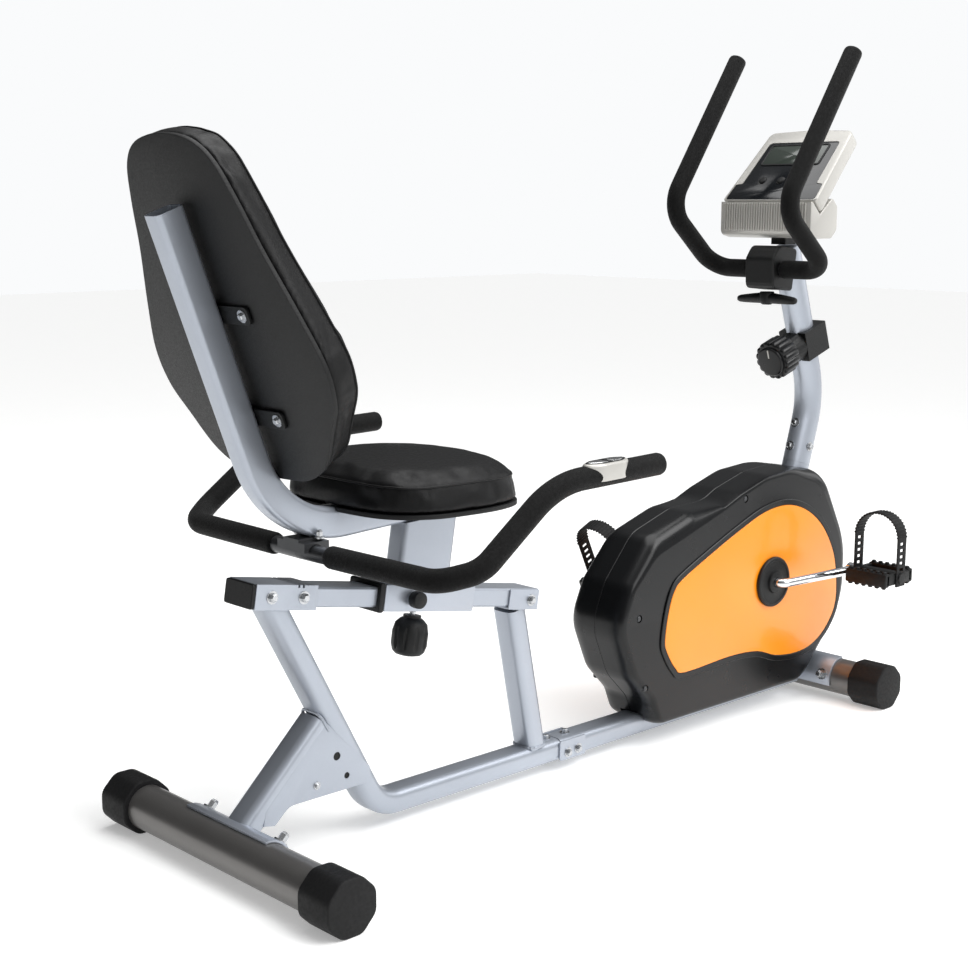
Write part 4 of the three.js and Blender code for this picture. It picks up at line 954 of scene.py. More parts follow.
class BIKE_OT_front_frame(Step, bpy.types.Operator):
    """The spine, its joint plates, the stub that carries the mast, and the carriers inside the casing"""

    bl_idname = "bike.front_frame"
    bl_label = "Front frame"

    def execute(self, context):
        spine = sweep(FRAME_SECTION, [(656, 0, 36), (1324, 0, 36)])
        stub = sweep(oval(40, 54), [MAST_FOOT, MAST_JOINT + MAST_ALONG * 39])
        collar = sweep(oval(46, 60, 40), [MAST_JOINT - MAST_ALONG * 70, MAST_JOINT - MAST_ALONG * 0.3])
        plates = []
        for _, sign in sides():
            low, high = sorted((sign * 24.3, sign * 27.3))
            plates.append(
                slab(
                    rounded([(649, 19, 4), (711, 19, 4), (711, 53, 4), (649, 53, 4)]), low, high,
                    (0.6, 0.6)
                )
            )
        arc = [math.radians(82 + 118 * k / 16) for k in range(17)]
        saddle = [Vector((38.3 * math.cos(a), 38.3 * math.sin(a))) for a in arc]
        saddle += [Vector((34.3 * math.cos(a), 34.3 * math.sin(a))) for a in reversed(arc)]
        basis = (Vector((WHEELBASE, 0, CAP_RADIUS)), *SIDE[1:])
        shell = lathe([(10, -30), (21, -30), (21, 26), (10, 26), (10, -30)], CRANK, (0, 1, 0), 32)
        strut = brick((1177, 1252), (-14, 14), (236, 268), 3)
        carriers = [
            brick((887, 923), (-29, -25), (52, 206), 1.5),
            brick((887, 923), (47, 51), (52, 206), 1.5),
            brick((887, 923), (-29, 51), (52, 58), 1.5),
            brick((1020, 1038), (9, 13), (50, 169), 1.5),
        ]
        axle = lathe([(0, -32), (6, -32), (6, 54), (0, 54)], (905, 0, 192), (0, 1, 0), 24)
        parts = [
            spine, stub, collar, *plates, slab(saddle, -98, 98, (0.8, 0.8), basis, 2), shell, strut,
            *carriers, axle
        ]
        piece = build("front_frame_finish", parts, "silver")
        install(piece, "frame", "silver_paint", "front_frame")
        return {"FINISHED"}


class BIKE_OT_seat_frame(Step, bpy.types.Operator):
    """The seat carriage with its bush and knobs, and the bent tube that carries both cushions"""

    bl_idname = "bike.seat_frame"
    bl_label = "Seat frame"

    def execute(self, context):
        self.carriage()
        self.bush()
        self.knobs()
        tube = sweep(SEAT_SECTION, [SEAT_TOP, SEAT_CORNER, SEAT_FRONT], (156,), 20)
        piece = build("seat_frame_tube_finish", [tube], "silver")
        mouth = sweep(rectangle(31, 40, 6, 4), [SEAT_TOP + BACK_UP * 5, SEAT_TOP - BACK_UP * 40])
        install(carve(piece, [mouth]), "seat", "silver_paint", "seat_frame_tube")
        for name, up in BRACKETS_UP:
            node = "backrest_bracket_" + name
            outline = rounded([(-75, up - 13, 6), (75, up - 13, 6), (75, up + 13, 6), (-75, up + 13, 6)])
            parts = [slab(outline, 0.4, 5.6, (0.9, 0.9), BACK)]
            install(build(node + "_finish", parts, "plastic"), "seat", "black_plastic", node)
        return {"FINISHED"}

    def carriage(self):
        # A box section with the rail's bush inside, and the flat post that rises to the seat tube.
        sleeve = brick((232, 414), (-37.3, 37.3), (-20.3, 20.3), 2.5, RAIL)
        piece = build("seat_carriage_finish", [sleeve], "silver")
        inside = brick((220, 430), (-34.3, 34.3), (-17.3, 17.3), 0.6, RAIL)
        carve(piece, [inside])
        top = on(RAIL, PIN_X, 148)
        post = sweep(rectangle(40, 105, 9, 5), [on(RAIL, PIN_X, 19.5), top])
        solid = build("post", [post], "silver")
        above = brick((-200, 500), (-60, 60), (0, 200), 0.5, self.under_seat())
        carve(solid, [above])
        self.join(piece, solid)
        boss = lathe(
            [(0, 36), (8.5, 36), (8.5, 41), (4.4, 41), (4.4, 36.5), (0, 36.5)], on(RAIL, CLAMP_X, 0),
            (0, -1, 0), 24
        )
        extra = build("boss", [boss], "silver")
        self.join(piece, extra)
        install(piece, "seat", "silver_paint", "seat_carriage")

    def under_seat(self):
        """Axes along the underside of the seat tube."""
        along = (SEAT_FRONT - SEAT_CORNER).normalized()
        up = Vector((-along.z, 0, along.x))
        return (SEAT_CORNER - up * (SEAT_HALF_DEPTH + 0.3), along, up, Vector((0, 1, 0)))

    def join(self, piece, other):
        bm = bmesh.new()
        bm.from_mesh(piece.data)
        bm.from_mesh(other.data)
        bm.to_mesh(piece.data)
        bm.free()
        bpy.data.objects.remove(other)
        smooth(piece.data)

    def bush(self):
        inside = brick((210, 430), (-30.3, 30.3), (-15.3, 15.3), 0.4, RAIL)
        body = brick((231, 408), (-34, 34), (-17, 17), 0.8, RAIL)
        lip = brick((221.7, 231.7), (-37.3, 37.3), (-22.3, 22.3), 3, RAIL)
        piece = carve(build("carriage_bush_finish", [body], "plastic"), [inside])
        self.join(piece, carve(build("lip", [lip], "plastic"), [inside]))
        install(piece, "seat", "black_plastic", "carriage_bush")

    def knobs(self):
        # The pop-pin's pull: a waisted grip with ten flutes on a steel stem.
        top = -31.8
        profile = [
            (0, -63), (12, -63), (20, -61), (25, -56), (28, -46), (28, -26), (25, -13), (18, -6),
            (14, -4), (14, 0), (0, 0)
        ]
        grip = lathe([(r, top + z) for r, z in profile], on(RAIL, PIN_X, 0), RAIL[2], 64)
        piece = build("pop_pin_grip", [grip], "plastic", 50)
        flutes = []
        for i in range(10):
            a = 2 * math.pi * i / 10
            centre = on(RAIL, PIN_X + 30.5 * math.cos(a), 0) + Vector((0, 30.5 * math.sin(a), 0))
            flutes.append(
                lathe(
                    [(0, top - 56), (4.6, top - 52), (4.6, top - 18), (0, top - 13)], centre, RAIL[2],
                    20
                )
            )
        carve(piece, flutes, 50)
        install(piece, "pop_pin", "black_plastic", "pop_pin_knob")
        stem = lathe(
            [(0, top - 2), (4.7, top - 2), (4.7, -16.2), (3.8, -15.3), (0, -15.3)], on(RAIL, PIN_X, 0),
            RAIL[2], 24
        )
        install(build("pop_pin_stem", [stem], "zinc"), "pop_pin", "chrome_steel")

        disc = [(0, 41.6), (11, 41.6), (12.6, 43), (13, 46), (13, 55), (12.4, 57.4), (10.5, 58.6), (0, 58.6)]
        piece = build("clamp_knob_grip", [lathe(disc, on(RAIL, CLAMP_X, 0), (0, -1, 0), 60)], "plastic", 40)
        install(piece, "clamp_knob", "black_plastic", "carriage_clamp_knob")
        screw = lathe([(0, 30.4), (3.9, 30.4), (3.9, 43), (0, 43)], on(RAIL, CLAMP_X, 0), (0, -1, 0), 20)
        install(build("clamp_knob_screw", [screw], "zinc"), "clamp_knob", "chrome_steel")


# ------------------------------------------------------------------ cushions
def swell(piece, normal, base, most, channel):
    """Fills a cushion by cloth simulation; no point moves further than most.

    The flat side is held, and so is the channel under the middle, which is that wide each way.
    """
    even = piece.modifiers.new("even", "REMESH")
    even.mode = "VOXEL"
    even.voxel_size = 5 * MM
    bake(piece)
    shape = piece.data.vertices
    heights = [(v.co - base).dot(normal) for v in shape]
    resting = [
        v.index for v, h in zip(shape, heights) if h < 4 * MM or (abs(v.co.y) < channel and h < 20 * MM)
    ]
    held = piece.vertex_groups.new(name="held")
    held.add(resting, 1.0, "REPLACE")
    start = [v.co.copy() for v in shape]
    fill = piece.modifiers.new("fill", "CLOTH")
    fill.settings.use_pressure = True
    fill.settings.uniform_pressure_force = 4
    fill.settings.effector_weights.gravity = 0
    fill.settings.vertex_group_mass = "held"
    for step in range(1, 21):
        bpy.context.scene.frame_set(step)
    graph = bpy.context.evaluated_depsgraph_get()
    filled = [v.co.copy() for v in piece.evaluated_get(graph).data.vertices]
    piece.modifiers.clear()
    for vertex, a, b in zip(shape, start, filled):
        move = b - a
        if move.length > most:
            move.length = most
        vertex.co = a + move
    bpy.context.scene.frame_set(1)


def relax(piece, rounds):
    """Evens the surface and adds one subdivision."""
    ease = piece.modifiers.new("ease", "SMOOTH")
    ease.factor = 0.5
    ease.iterations = rounds
    finer = piece.modifiers.new("finer", "SUBSURF")
    finer.levels = finer.render_levels = 1
    bake(piece)
    smooth(piece.data, 60)
    return piece


def hug(piece, points, radius, sunk=0.35):
    """A sewn cord laid on a cushion: a closed bead through the nearest places on its surface."""
    graph = bpy.context.evaluated_depsgraph_get()
    tree = BVHTree.FromObject(piece, graph)
    laid = []
    for p in points:
        spot, normal, _, _ = tree.find_nearest(row(*p))
        q = spot + normal * radius * (1 - 2 * sunk) * MM
        laid.append(Vector(((q.x - SHIFT_X) / MM, q.y / MM, q.z / MM)))
    for _ in range(3):
        laid = [(laid[i - 1] + p * 2 + laid[(i + 1) % len(laid)]) / 4 for i, p in enumerate(laid)]
    return bead(laid, radius)


def even_loop(outline, spacing):
    """The outline as points about that far apart."""
    made = []
    for a, b in zip(outline, outline[1:] + outline[:1]):
        pieces = max(1, round((b - a).length / spacing))
        made += [a.lerp(b, k / pieces) for k in range(pieces)]
    return made


class BIKE_OT_cushions(Step, bpy.types.Operator):
    """Seat and backrest: covers filled by cloth simulation, their piping and their boards"""

    bl_idname = "bike.cushions"
    bl_label = "Cushions"

    def execute(self, context):
        right = [
            (188, -60), (205, -122), (250, -160), (310, -172), (375, -172), (425, -152), (455, -105),
            (469, -50), (472, 0)
        ]
        left = [(x, -y) for x, y in reversed(right[:-1])]
        basis = (Vector((0, 0, 504)), Vector((1, 0, 0)), Vector((0, 1, 0)), Vector((0, 0, 1)))
        self.pad("seat_cushion", spline(right + left), basis, 56, self.saddle, (6, 10), self.channel())
        half = [
            (0, 993), (62, 984), (100, 955), (123, 903), (145, 833), (178, 748), (200, 678), (195, 623),
            (168, 578), (130, 525), (82, 498), (30, 492)
        ]
        other = [(-y, s) for y, s in reversed(half[1:])]
        basis = (BACK[0] + BACK_OUT * 6, *BACK[1:])
        self.pad("backrest_cushion", spline(half + other), basis, 58, self.lumbar, (2, 13))
        return {"FINISHED"}

    def channel(self):
        """Room for the seat tube under the cushion."""
        ahead = SEAT_FRONT + (SEAT_FRONT - SEAT_CORNER).normalized() * 8
        return sweep(rectangle(40, 49, 9, 4), [SEAT_TOP, SEAT_CORNER, ahead], (156,), 20)

    def saddle(self, u, v):
        """How far the seat's top stands above a flat one."""
        return 14 * max(0.0, 1 - ((u - 330) / 158) ** 2 - (v / 184) ** 2)

    def lumbar(self, u, v):
        """How far the backrest's front stands above a flat one."""
        hollow = -7 * math.exp(-((u / 75) ** 2))
        swell_low = 5 * math.exp(-(((v - 640) / 90) ** 2))
        return hollow + swell_low

    def pad(self, name, outline, basis, thickness, relief, edges, below=None):
        """A cover, its piping and its board. below is what the cushion is hollowed out for."""
        origin, a, b, c = basis
        board = 7
        inner = inset(outline, 3)
        form = slab(inner, board, thickness - 3, (3, edges[1]), basis, 6)
        piece = build(name + "_cover", [form], "vinyl")
        if below:
            carve(piece, [below])
        normal = c.normalized()
        base = row(*(origin + c * board))
        swell(piece, normal, base, self.sizes.swell, 24 * MM if below else 0)
        # The foam's own relief, full on the face and fading to nothing at the board.
        for vertex in piece.data.vertices:
            q = Vector(((vertex.co.x - SHIFT_X) / MM, vertex.co.y / MM, vertex.co.z / MM)) - origin
            height = q.dot(c)
            share = max(0.0, min(1.0, (height - board) / (thickness - board))) ** 1.5
            vertex.co += c * (relief(q.dot(a), q.dot(b)) * share * MM)
        relax(piece, 8)
        seam = [
            on(basis, p.x, p.y, thickness - 9 + relief(p.x, p.y))
            for p in even_loop(inset(outline, 4), 4)
        ]
        piping = hug(piece, seam, self.sizes.piping / MM)
        body = "seat"
        install(piece, body, "vinyl_black", name)
        cord = build(name + "_piping", [piping], "vinyl")
        install(cord, body, "vinyl_black")
        # The moulded board behind, with the cover's folded edge standing a little proud round it.
        plate = slab(inset(outline, 2.5), 0.2, board, (1.2, 0.8), basis, 2)
        back = build(name + "_board", [plate], "plastic")
        if below:
            carve(back, [below])
        install(back, body, "black_plastic")


# ------------------------------------------------------------------ bars and grips
def grips(prefix, path, bends, bare, radius, steps=12):
    """A bent bar with a foam sleeve on each side of its bare middle. path starts at the middle."""
    half = sweep(oval(25, 25, 28), path, bends, steps)
    piece = build(prefix + "_tube_finish", [half, mirrored(half)], "dark_steel")
    yield piece
    start = Vector(path[0])
    first = start.lerp(Vector(path[1]), bare / (Vector(path[1]) - start).length)
    along = (Vector(path[-1]) - Vector(path[-2])).normalized()
    tip = Vector(path[-1]) + along * 6
    sleeve = sweep(oval(2 * radius, 2 * radius, 32), [first, *path[1:-1], tip], bends, steps, soft_end=6)
    for hand, sign in sides():
        made = sleeve if sign > 0 else mirrored(sleeve)
        yield build(prefix + "_foam_" + hand, [made], "foam", 50)


class BIKE_OT_seat_handlebar(Step, bpy.types.Operator):
    """The bar beside the seat, its foam grips and the pulse sensors on them"""

    bl_idname = "bike.seat_handlebar"
    bl_label = "Seat handlebar"

    def execute(self, context):
        path = [(140, 0, 452), (146, 284, 452), (192, 320, 466), *SEAT_GRIP]
        tube, left, right = grips("seat_handlebar", path, (50, 55, 170), 62, self.sizes.foam_radius / MM)
        install(tube, "seat", "dark_steel", "seat_handlebar_tube")
        install(left, "seat", "foam_black", "seat_grip_left")
        install(right, "seat", "foam_black", "seat_grip_right")
        for hand, sign in sides():
            self.sensor(hand, sign)
        return {"FINISHED"}

    def sensor(self, hand, sign):
        rear, front = (Vector((x, sign * y, z)) for x, y, z in SEAT_GRIP)
        along = (front - rear).normalized()
        across = Vector((0, 1, 0))
        basis = (rear.lerp(front, 0.47), along, across, along.cross(across).normalized())
        shape = [(-52, 0, 10), (-20, -18, 34), (24, -18, 34), (52, 0, 10), (24, 18, 34), (-20, 18, 34)]
        outline = rounded(shape, 8)
        housing = slab(outline, -6, 19, (1, 4.5), basis, 5)
        node = "pulse_sensor_" + hand
        install(build(node + "_housing", [housing], "console"), "seat", "console_silver", node)
        dark = slab(inset(outline, 4.2), 15, 19.7, (0, 0.8), basis, 3)
        install(build(node + "_inlay", [dark], "plastic"), "seat", "black_plastic")
        plates = []
        for low, high in ((-36, -4), (4, 36)):
            edge = [p for p in even_loop(inset(outline, 7.5), 2) if low - 0.1 <= p.x <= high + 0.1]
            edge.sort(key=lambda p: math.atan2(p.y, p.x - (low + high) / 2))
            plates.append(slab(edge, 17, 20.6, (0, 0.9), basis, 3))
        install(build(node + "_plates", plates, "sensor"), "seat", "chrome_steel")


class BIKE_OT_upper_handlebar(Step, bpy.types.Operator):
    """The upright handlebar with its foam, its clamp and the T-handle that tightens it"""

    bl_idname = "bike.upper_handlebar"
    bl_label = "Upper handlebar"

    def execute(self, context):
        path = [(1212, 0, 822), (1212, 127, 822), (1082, 127, 932), (1266, 127, 1199)]
        tube, left, right = grips("upper_handlebar", path, (42, 50), 33, self.sizes.foam_radius / MM)
        install(tube, "handlebar", "dark_steel", "upper_handlebar_tube")
        install(left, "handlebar", "foam_black", "upper_grip_left")
        install(right, "handlebar", "foam_black", "upper_grip_right")
        refine("handlebar_clamp", "plastic", 2.5)
        wing = [
            (0, -4), (9.6, -2), (10, 10), (9, 30), (7.6, 50), (6.6, 60), (5, 64.5), (2.5, 66.3),
            (0, 66.6)
        ]
        hub = [(0, 757), (8, 757.5), (12, 760), (13.4, 764), (13.4, 779), (12.4, 781), (0, 781)]
        parts = [lathe([(r, h - 770) for r, h in hub], (BAR.x, 0, 770), (0, 0, 1), 36)]
        for _, sign in sides():
            parts.append(lathe(wing, (BAR.x, 0, 770), (0, sign, -0.06), 28))
        install(build("t_handle_grip", parts, "plastic", 50), "t_handle", "black_plastic", "clamp_t_handle")
        return {"FINISHED"}


# ------------------------------------------------------------------ casing, crank and pedals
CREST = [
    (864, 38, 24), (842, 88, 50), (792, 138, 70), (752, 232, 70), (782, 302, 60), (850, 379, 60),
    (950, 410, 80), (1040, 413, 90),
    (1076, 430, 90), (1160, 453, 90), (1240, 458, 90), (1345, 440, 90), (1418, 300, 150),
    (1418, 170, 130), (1290, 38, 70),
]
CHEEK = [
    (869, 46, 20), (850, 94, 44), (803, 143, 62), (764, 233, 62), (793, 297, 50), (848, 350, 60),
    (945, 380, 80), (1030, 407, 90),
    (1076, 424, 90), (1150, 446, 90), (1228, 452, 90), (1325, 418, 90), (1403, 290, 140),
    (1403, 175, 120), (1280, 45, 60),
]
PANEL = [
    (1212, 391), (1269, 376), (1319, 344), (1355, 300), (1375, 252), (1380, 181), (1353, 136),
    (1309, 108), (1255, 100),
    (1192, 107), (1136, 125), (1055, 131), (929, 126), (901, 139), (878, 172), (872, 195), (881, 247),
    (896, 281),
    (919, 298), (990, 329), (1073, 362), (1146, 386),
]
CASING_SCREWS = ((1090, 417), (806, 244), (826, 116))


class BIKE_OT_casing(Step, bpy.types.Operator):
    """Both halves of the drive casing, and the coloured panel with its black rim on each side"""

    bl_idname = "bike.casing"
    bl_label = "Casing"

    def execute(self, context):
        crest, cheek = rounded(CREST, 7), rounded(CHEEK, 7)
        panel = spline(PANEL, 4)
        bore = lathe([(0, 40), (24, 40), (24, 80), (0, 80)], (CRANK.x, 0, CRANK.z), (0, 1, 0), 64)
        stub = sweep(oval(47.6, 61.6, 48), [MAST_FOOT, MAST_JOINT + MAST_ALONG * 30])
        spine = brick((700, 1395), (-25, 25), (-10, 56), 0.4)
        floor_tube = lathe(
            [(0, -130), (40, -130), (40, 130), (0, 130)], (WHEELBASE, 0, CAP_RADIUS), (0, 1, 0), 64
        )
        for hand, sign in sides():
            node = "shroud_" + hand
            piece = build(node + "_shell", [self.half(crest, cheek, sign)], "shroud", 40)
            wall = piece.modifiers.new("wall", "SOLIDIFY")
            wall.thickness = self.sizes.casing_wall
            wall.offset = -1
            wall.use_even_offset = True
            bake(piece)
            side_bore = bore if sign > 0 else mirrored(bore)
            cutters = [side_bore, stub, spine, floor_tube]
            for part in cutters:
                carve(piece, [part], 40)
            wells = [
                lathe(
                    [(0, 57), (7, 57), (7, 70), (0, 70)], (x, 0, z), (0, sign, 0), 28
                ) for x, z in CASING_SCREWS
            ]
            carve(piece, wells, 40)
            install(piece, "frame", "shroud_plastic", node)

            across = Vector((0, sign, 0))
            basis = (SIDE[0], SIDE[1], SIDE[2], across)
            rim_outer, rim_inner = inset(panel, -11), inset(panel, -0.4)
            rings = [
                (rim_inner, 59.5), (rim_outer, 59.5), (rim_outer, 62.0), (inset(panel, -10), 63.0),
                (inset(panel, -1.4), 63.0), (rim_inner, 62.0)
            ]
            install(
                build("panel_rim_" + hand, [loft(rings, basis, True)], "shroud", 30), "frame",
                "shroud_plastic"
            )
            plate = build(
                "side_panel_%s_face" % hand, [slab(panel, 60.3, 62.9, (0.3, 1.2), basis, 3)], "panel",
                30
            )
            carve(plate, [side_bore], 30)
            install(plate, "frame", "orange_panel", "side_panel_" + hand)
        return {"FINISHED"}

    def half(self, crest, cheek, sign):
        """The outer skin of one half, from the middle seam out to its flat side."""
        basis = (SIDE[0], SIDE[1], SIDE[2], Vector((0, sign, 0)))
        rings = [(inset(crest, 0.9), 0.15), (crest, 1.1), (crest, 30)]
        for k in range(1, 9):
            a = math.pi / 2 * k / 8
            share = 1 - math.cos(a)
            rings.append(([p.lerp(q, share) for p, q in zip(crest, cheek)], 30 + 29 * math.sin(a)))
        rings.append((inset(cheek, 2), 59.8))
        rings.append((inset(cheek, 5), 60))
        verts, faces = loft(rings, basis)
        count = len(crest)
        faces.append(tuple((len(rings) - 1) * count + i for i in range(count)))
        return verts, faces


def loft(rings, basis, closed=False):
    """A skin through outlines of equal length, each at its own depth. closed joins last to first."""
    origin, u, v, w = basis
    verts, faces, count = [], [], len(rings[0][0])
    for shape, depth in rings:
        verts += [origin + u * p.x + v * p.y + w * depth for p in shape]
    total = len(rings)
    for r in range(total if closed else total - 1):
        for i in range(count):
            j = (i + 1) % count
            low, high = r * count, ((r + 1) % total) * count
            faces.append((low + i, low + j, high + j, high + i))
    return verts, faces


def scallops(radius, count, depth, steps=8):
    """A round outline with that many shallow flutes."""
    total = count * steps
    made = []
    for i in range(total):
        a = 2 * math.pi * i / total
        wave = abs(math.sin(count * a / 2)) ** 0.7
        r = radius - depth * (1 - wave)
        made.append(Vector((r * math.cos(a), r * math.sin(a))))
    return made


class BIKE_OT_crank(Step, bpy.types.Operator):
    """The chromed crank, its hub covers, and the pedals with their slotted straps"""

    bl_idname = "bike.crank"
    bl_label = "Crank and pedals"

    def execute(self, context):
        reach = Vector((math.cos(CRANK_ANGLE), 0, math.sin(CRANK_ANGLE))) * CRANK_LENGTH
        ends = {1: CRANK - reach, -1: CRANK + reach}
        path = [
            ends[-1] + Vector((0, -122.5, 0)), CRANK + Vector((0, -88, 0)), CRANK + Vector((0, 88, 0)),
            ends[1] + Vector((0, 122.5, 0))
        ]
        parts = [sweep(oval(17, 17, 32), path, (16, 16), 10)]
        for sign, end in ends.items():
            boss = [(0, 113.5), (11.6, 113.5), (13, 114.9), (13, 130.1), (11.6, 131.5), (0, 131.5)]
            parts.append(lathe(boss, end, (0, sign, 0), 40))
        install(build("crank_finish", parts, "chrome", 40), "crankset", "chrome_steel", "crank")
        for hand, sign in sides():
            node = "hub_cover_" + hand
            cover = [
                (9.2, 63.8), (46.4, 63.8), (47, 65), (46.4, 68.6), (44.6, 70.4), (41, 70.6), (39, 68.8),
                (22, 68.6), (20.6, 69.2), (19.6, 73.6), (18, 74.4), (9.2, 74.4), (9.2, 63.8)
            ]
            disc = lathe(cover, CRANK, (0, sign, 0), 64)
            install(build(node + "_finish", [disc], "plastic", 35), "crankset", "black_plastic", node)
            self.pedal(hand, sign, ends[sign])
        return {"FINISHED"}

    def pedal(self, hand, sign, axle):
        body, node = hand + "_pedal", "pedal_" + hand
        x, z = axle.x, axle.z
        y = sign * PEDAL_Y
        parts = []
        for end in (-1, 1):
            at = x + end * 38
            parts.append(brick((at - 7, at + 7), (y - 44, y + 44), (z - 13, z + 13), 3.5))
        for wall in (-1, 1):
            at = y + wall * 39.5
            parts.append(brick((x - 41, x + 41), (at - 4.5, at + 4.5), (z - 11, z + 11), 3))
        parts.append(brick((x - 36, x + 36), (y - 42, y + 42), (z - 5, z + 5), 2))
        parts.append(brick((x - 13, x + 13), (y - 42, y + 42), (z - 11, z + 11), 5))
        spindle = [
            (0, 131.8), (9, 131.8), (9, 134.4), (7.6, 135.4), (7.6, 224.5), (10.5, 225), (11, 227.5),
            (9.5, 230.5), (0, 230.8)
        ]
        parts.append(lathe(spindle, axle, (0, sign, 0), 28))
        # The left pedal hangs tipped back about its spindle.
        tip = Matrix.Translation(axle) @ Matrix.Rotation(
            PEDAL_LEAN if sign > 0 else 0, 4, "Y"
        ) @ Matrix.Translation(-axle)
        tipped = [turned(part, tip) for part in parts]
        install(build(node + "_body", tipped, "plastic", 40), body, "black_plastic", node)
        knobs = []
        for face in (-1, 1):
            for end in (-1, 1):
                for k in range(6):
                    spot = Vector((x + end * 38, y - 36 + 14.4 * k, z + face * 12.6))
                    knobs.append((tip @ spot, tip.to_3x3() @ Vector((0, 0, face))))
        screws(node + "_studs", body, knobs, 4.2, 3.0, 12, 5.0, "plastic")
        self.strap(hand, x, y, z, tip)

    def strap(self, hand, x, y, z, tip):
        """A ribbed rubber band over the foot, with a row of slots down each leg."""
        body, node = hand + "_pedal", "pedal_strap_" + hand
        half, top, foot = 45.8, z + 118.4, z - 7
        path = [(x, y - half, foot), (x, y - half, top), (x, y + half, top), (x, y + half, foot)]
        band = build(
            node + "_finish", [sweep(rectangle(28, 3, 1.3, 3), path, (44, 44), 14, side=(1, 0, 0))],
            "rubber", 40
        )
        slots = []
        for k in range(5):
            low = z + 14 + 12 * k
            slots.append(brick((x - 6, x + 6), (y - half - 9, y + half + 9), (low, low + 6), 0.0))
        carve(band, slots, 40)
        for vertex in band.data.vertices:
            place = Vector(((vertex.co.x - SHIFT_X) / MM, vertex.co.y / MM, vertex.co.z / MM))
            vertex.co = row(*(tip @ place))
        install(band, body, "rubber_black", node)
        ribs = []
        for place, way in self.along(path, (44, 44), 6.5):
            if place.z < z + 76:
                continue
            out = way.cross(Vector((1, 0, 0))).normalized()
            basis = (place, Vector((1, 0, 0)), way, out)
            rib = rounded([(-15, -1.6, 1.2), (15, -1.6, 1.2), (15, 1.6, 1.2), (-15, 1.6, 1.2)], 2)
            ribs.append(turned(slab(rib, -2.1, 2.1, (0.6, 0.6), basis, 2), tip))
        feet = []
        for side in (-1, 1):
            at = y + side * half
            feet.append(turned(brick((x - 14, x + 14), (at - 1.8, at + 1.8), (foot - 8, foot + 8), 1.2), tip))
        install(build(node + "_ribs", [*ribs, *feet], "rubber", 40), body, "rubber_black")

    def along(self, points, bends, spacing):
        """Places and directions at even spacing along a path."""
        line = stations(points, bends, 24)
        made, carried = [], spacing
        for (a, u), (b, w) in zip(line, line[1:]):
            length_here = (b - a).length
            at = carried
            while at < length_here:
                share = at / length_here
                made.append((a.lerp(b, share), u.lerp(w, share).normalized()))
                at += spacing
            carried = at - length_here
        return made


# ------------------------------------------------------------------ mast and console
class BIKE_OT_mast(Step, bpy.types.Operator):
    """The oval mast and the resistance knob on it"""

    bl_idname = "bike.mast"
    bl_label = "Mast and resistance knob"

    def execute(self, context):
        mast = sweep(oval(46, 60, 56), [MAST_JOINT, MAST_KNEE, MAST_TOP], (170,), 22)
        install(build("console_mast_finish", [mast], "silver"), "frame", "silver_paint", "console_mast")
        at = MAST_KNEE + MAST_UP * ((683 - MAST_KNEE.z) / MAST_UP.z)
        basis = (at, Vector((0, 1, 0)), MAST_UP, MAST_BACK)
        grip = slab(scallops(37, 16, 3.2), 58.6, 98, (1.5, 5), basis, 4)
        cap = slab(oval(56, 56, 64), 96, 104, (0.5, 3.5), basis, 4)
        collar = slab(oval(66, 66, 64), 58.2, 62, (0.6, 0.8), basis, 2)
        piece = build("tension_knob_grip", [grip, cap, collar], "shroud", 40)
        install(piece, "tension_dial", "black_plastic", "tension_knob")
        mark = slab(
            rounded([(-1.3, 8, 1), (1.3, 8, 1), (1.3, 24, 1), (-1.3, 24, 1)], 3), 103.2, 104.3,
            (0.2, 0.3), basis, 2
        )
        install(build("tension_knob_mark", [mark], "console"), "tension_dial", "black_plastic")
        return {"FINISHED"}


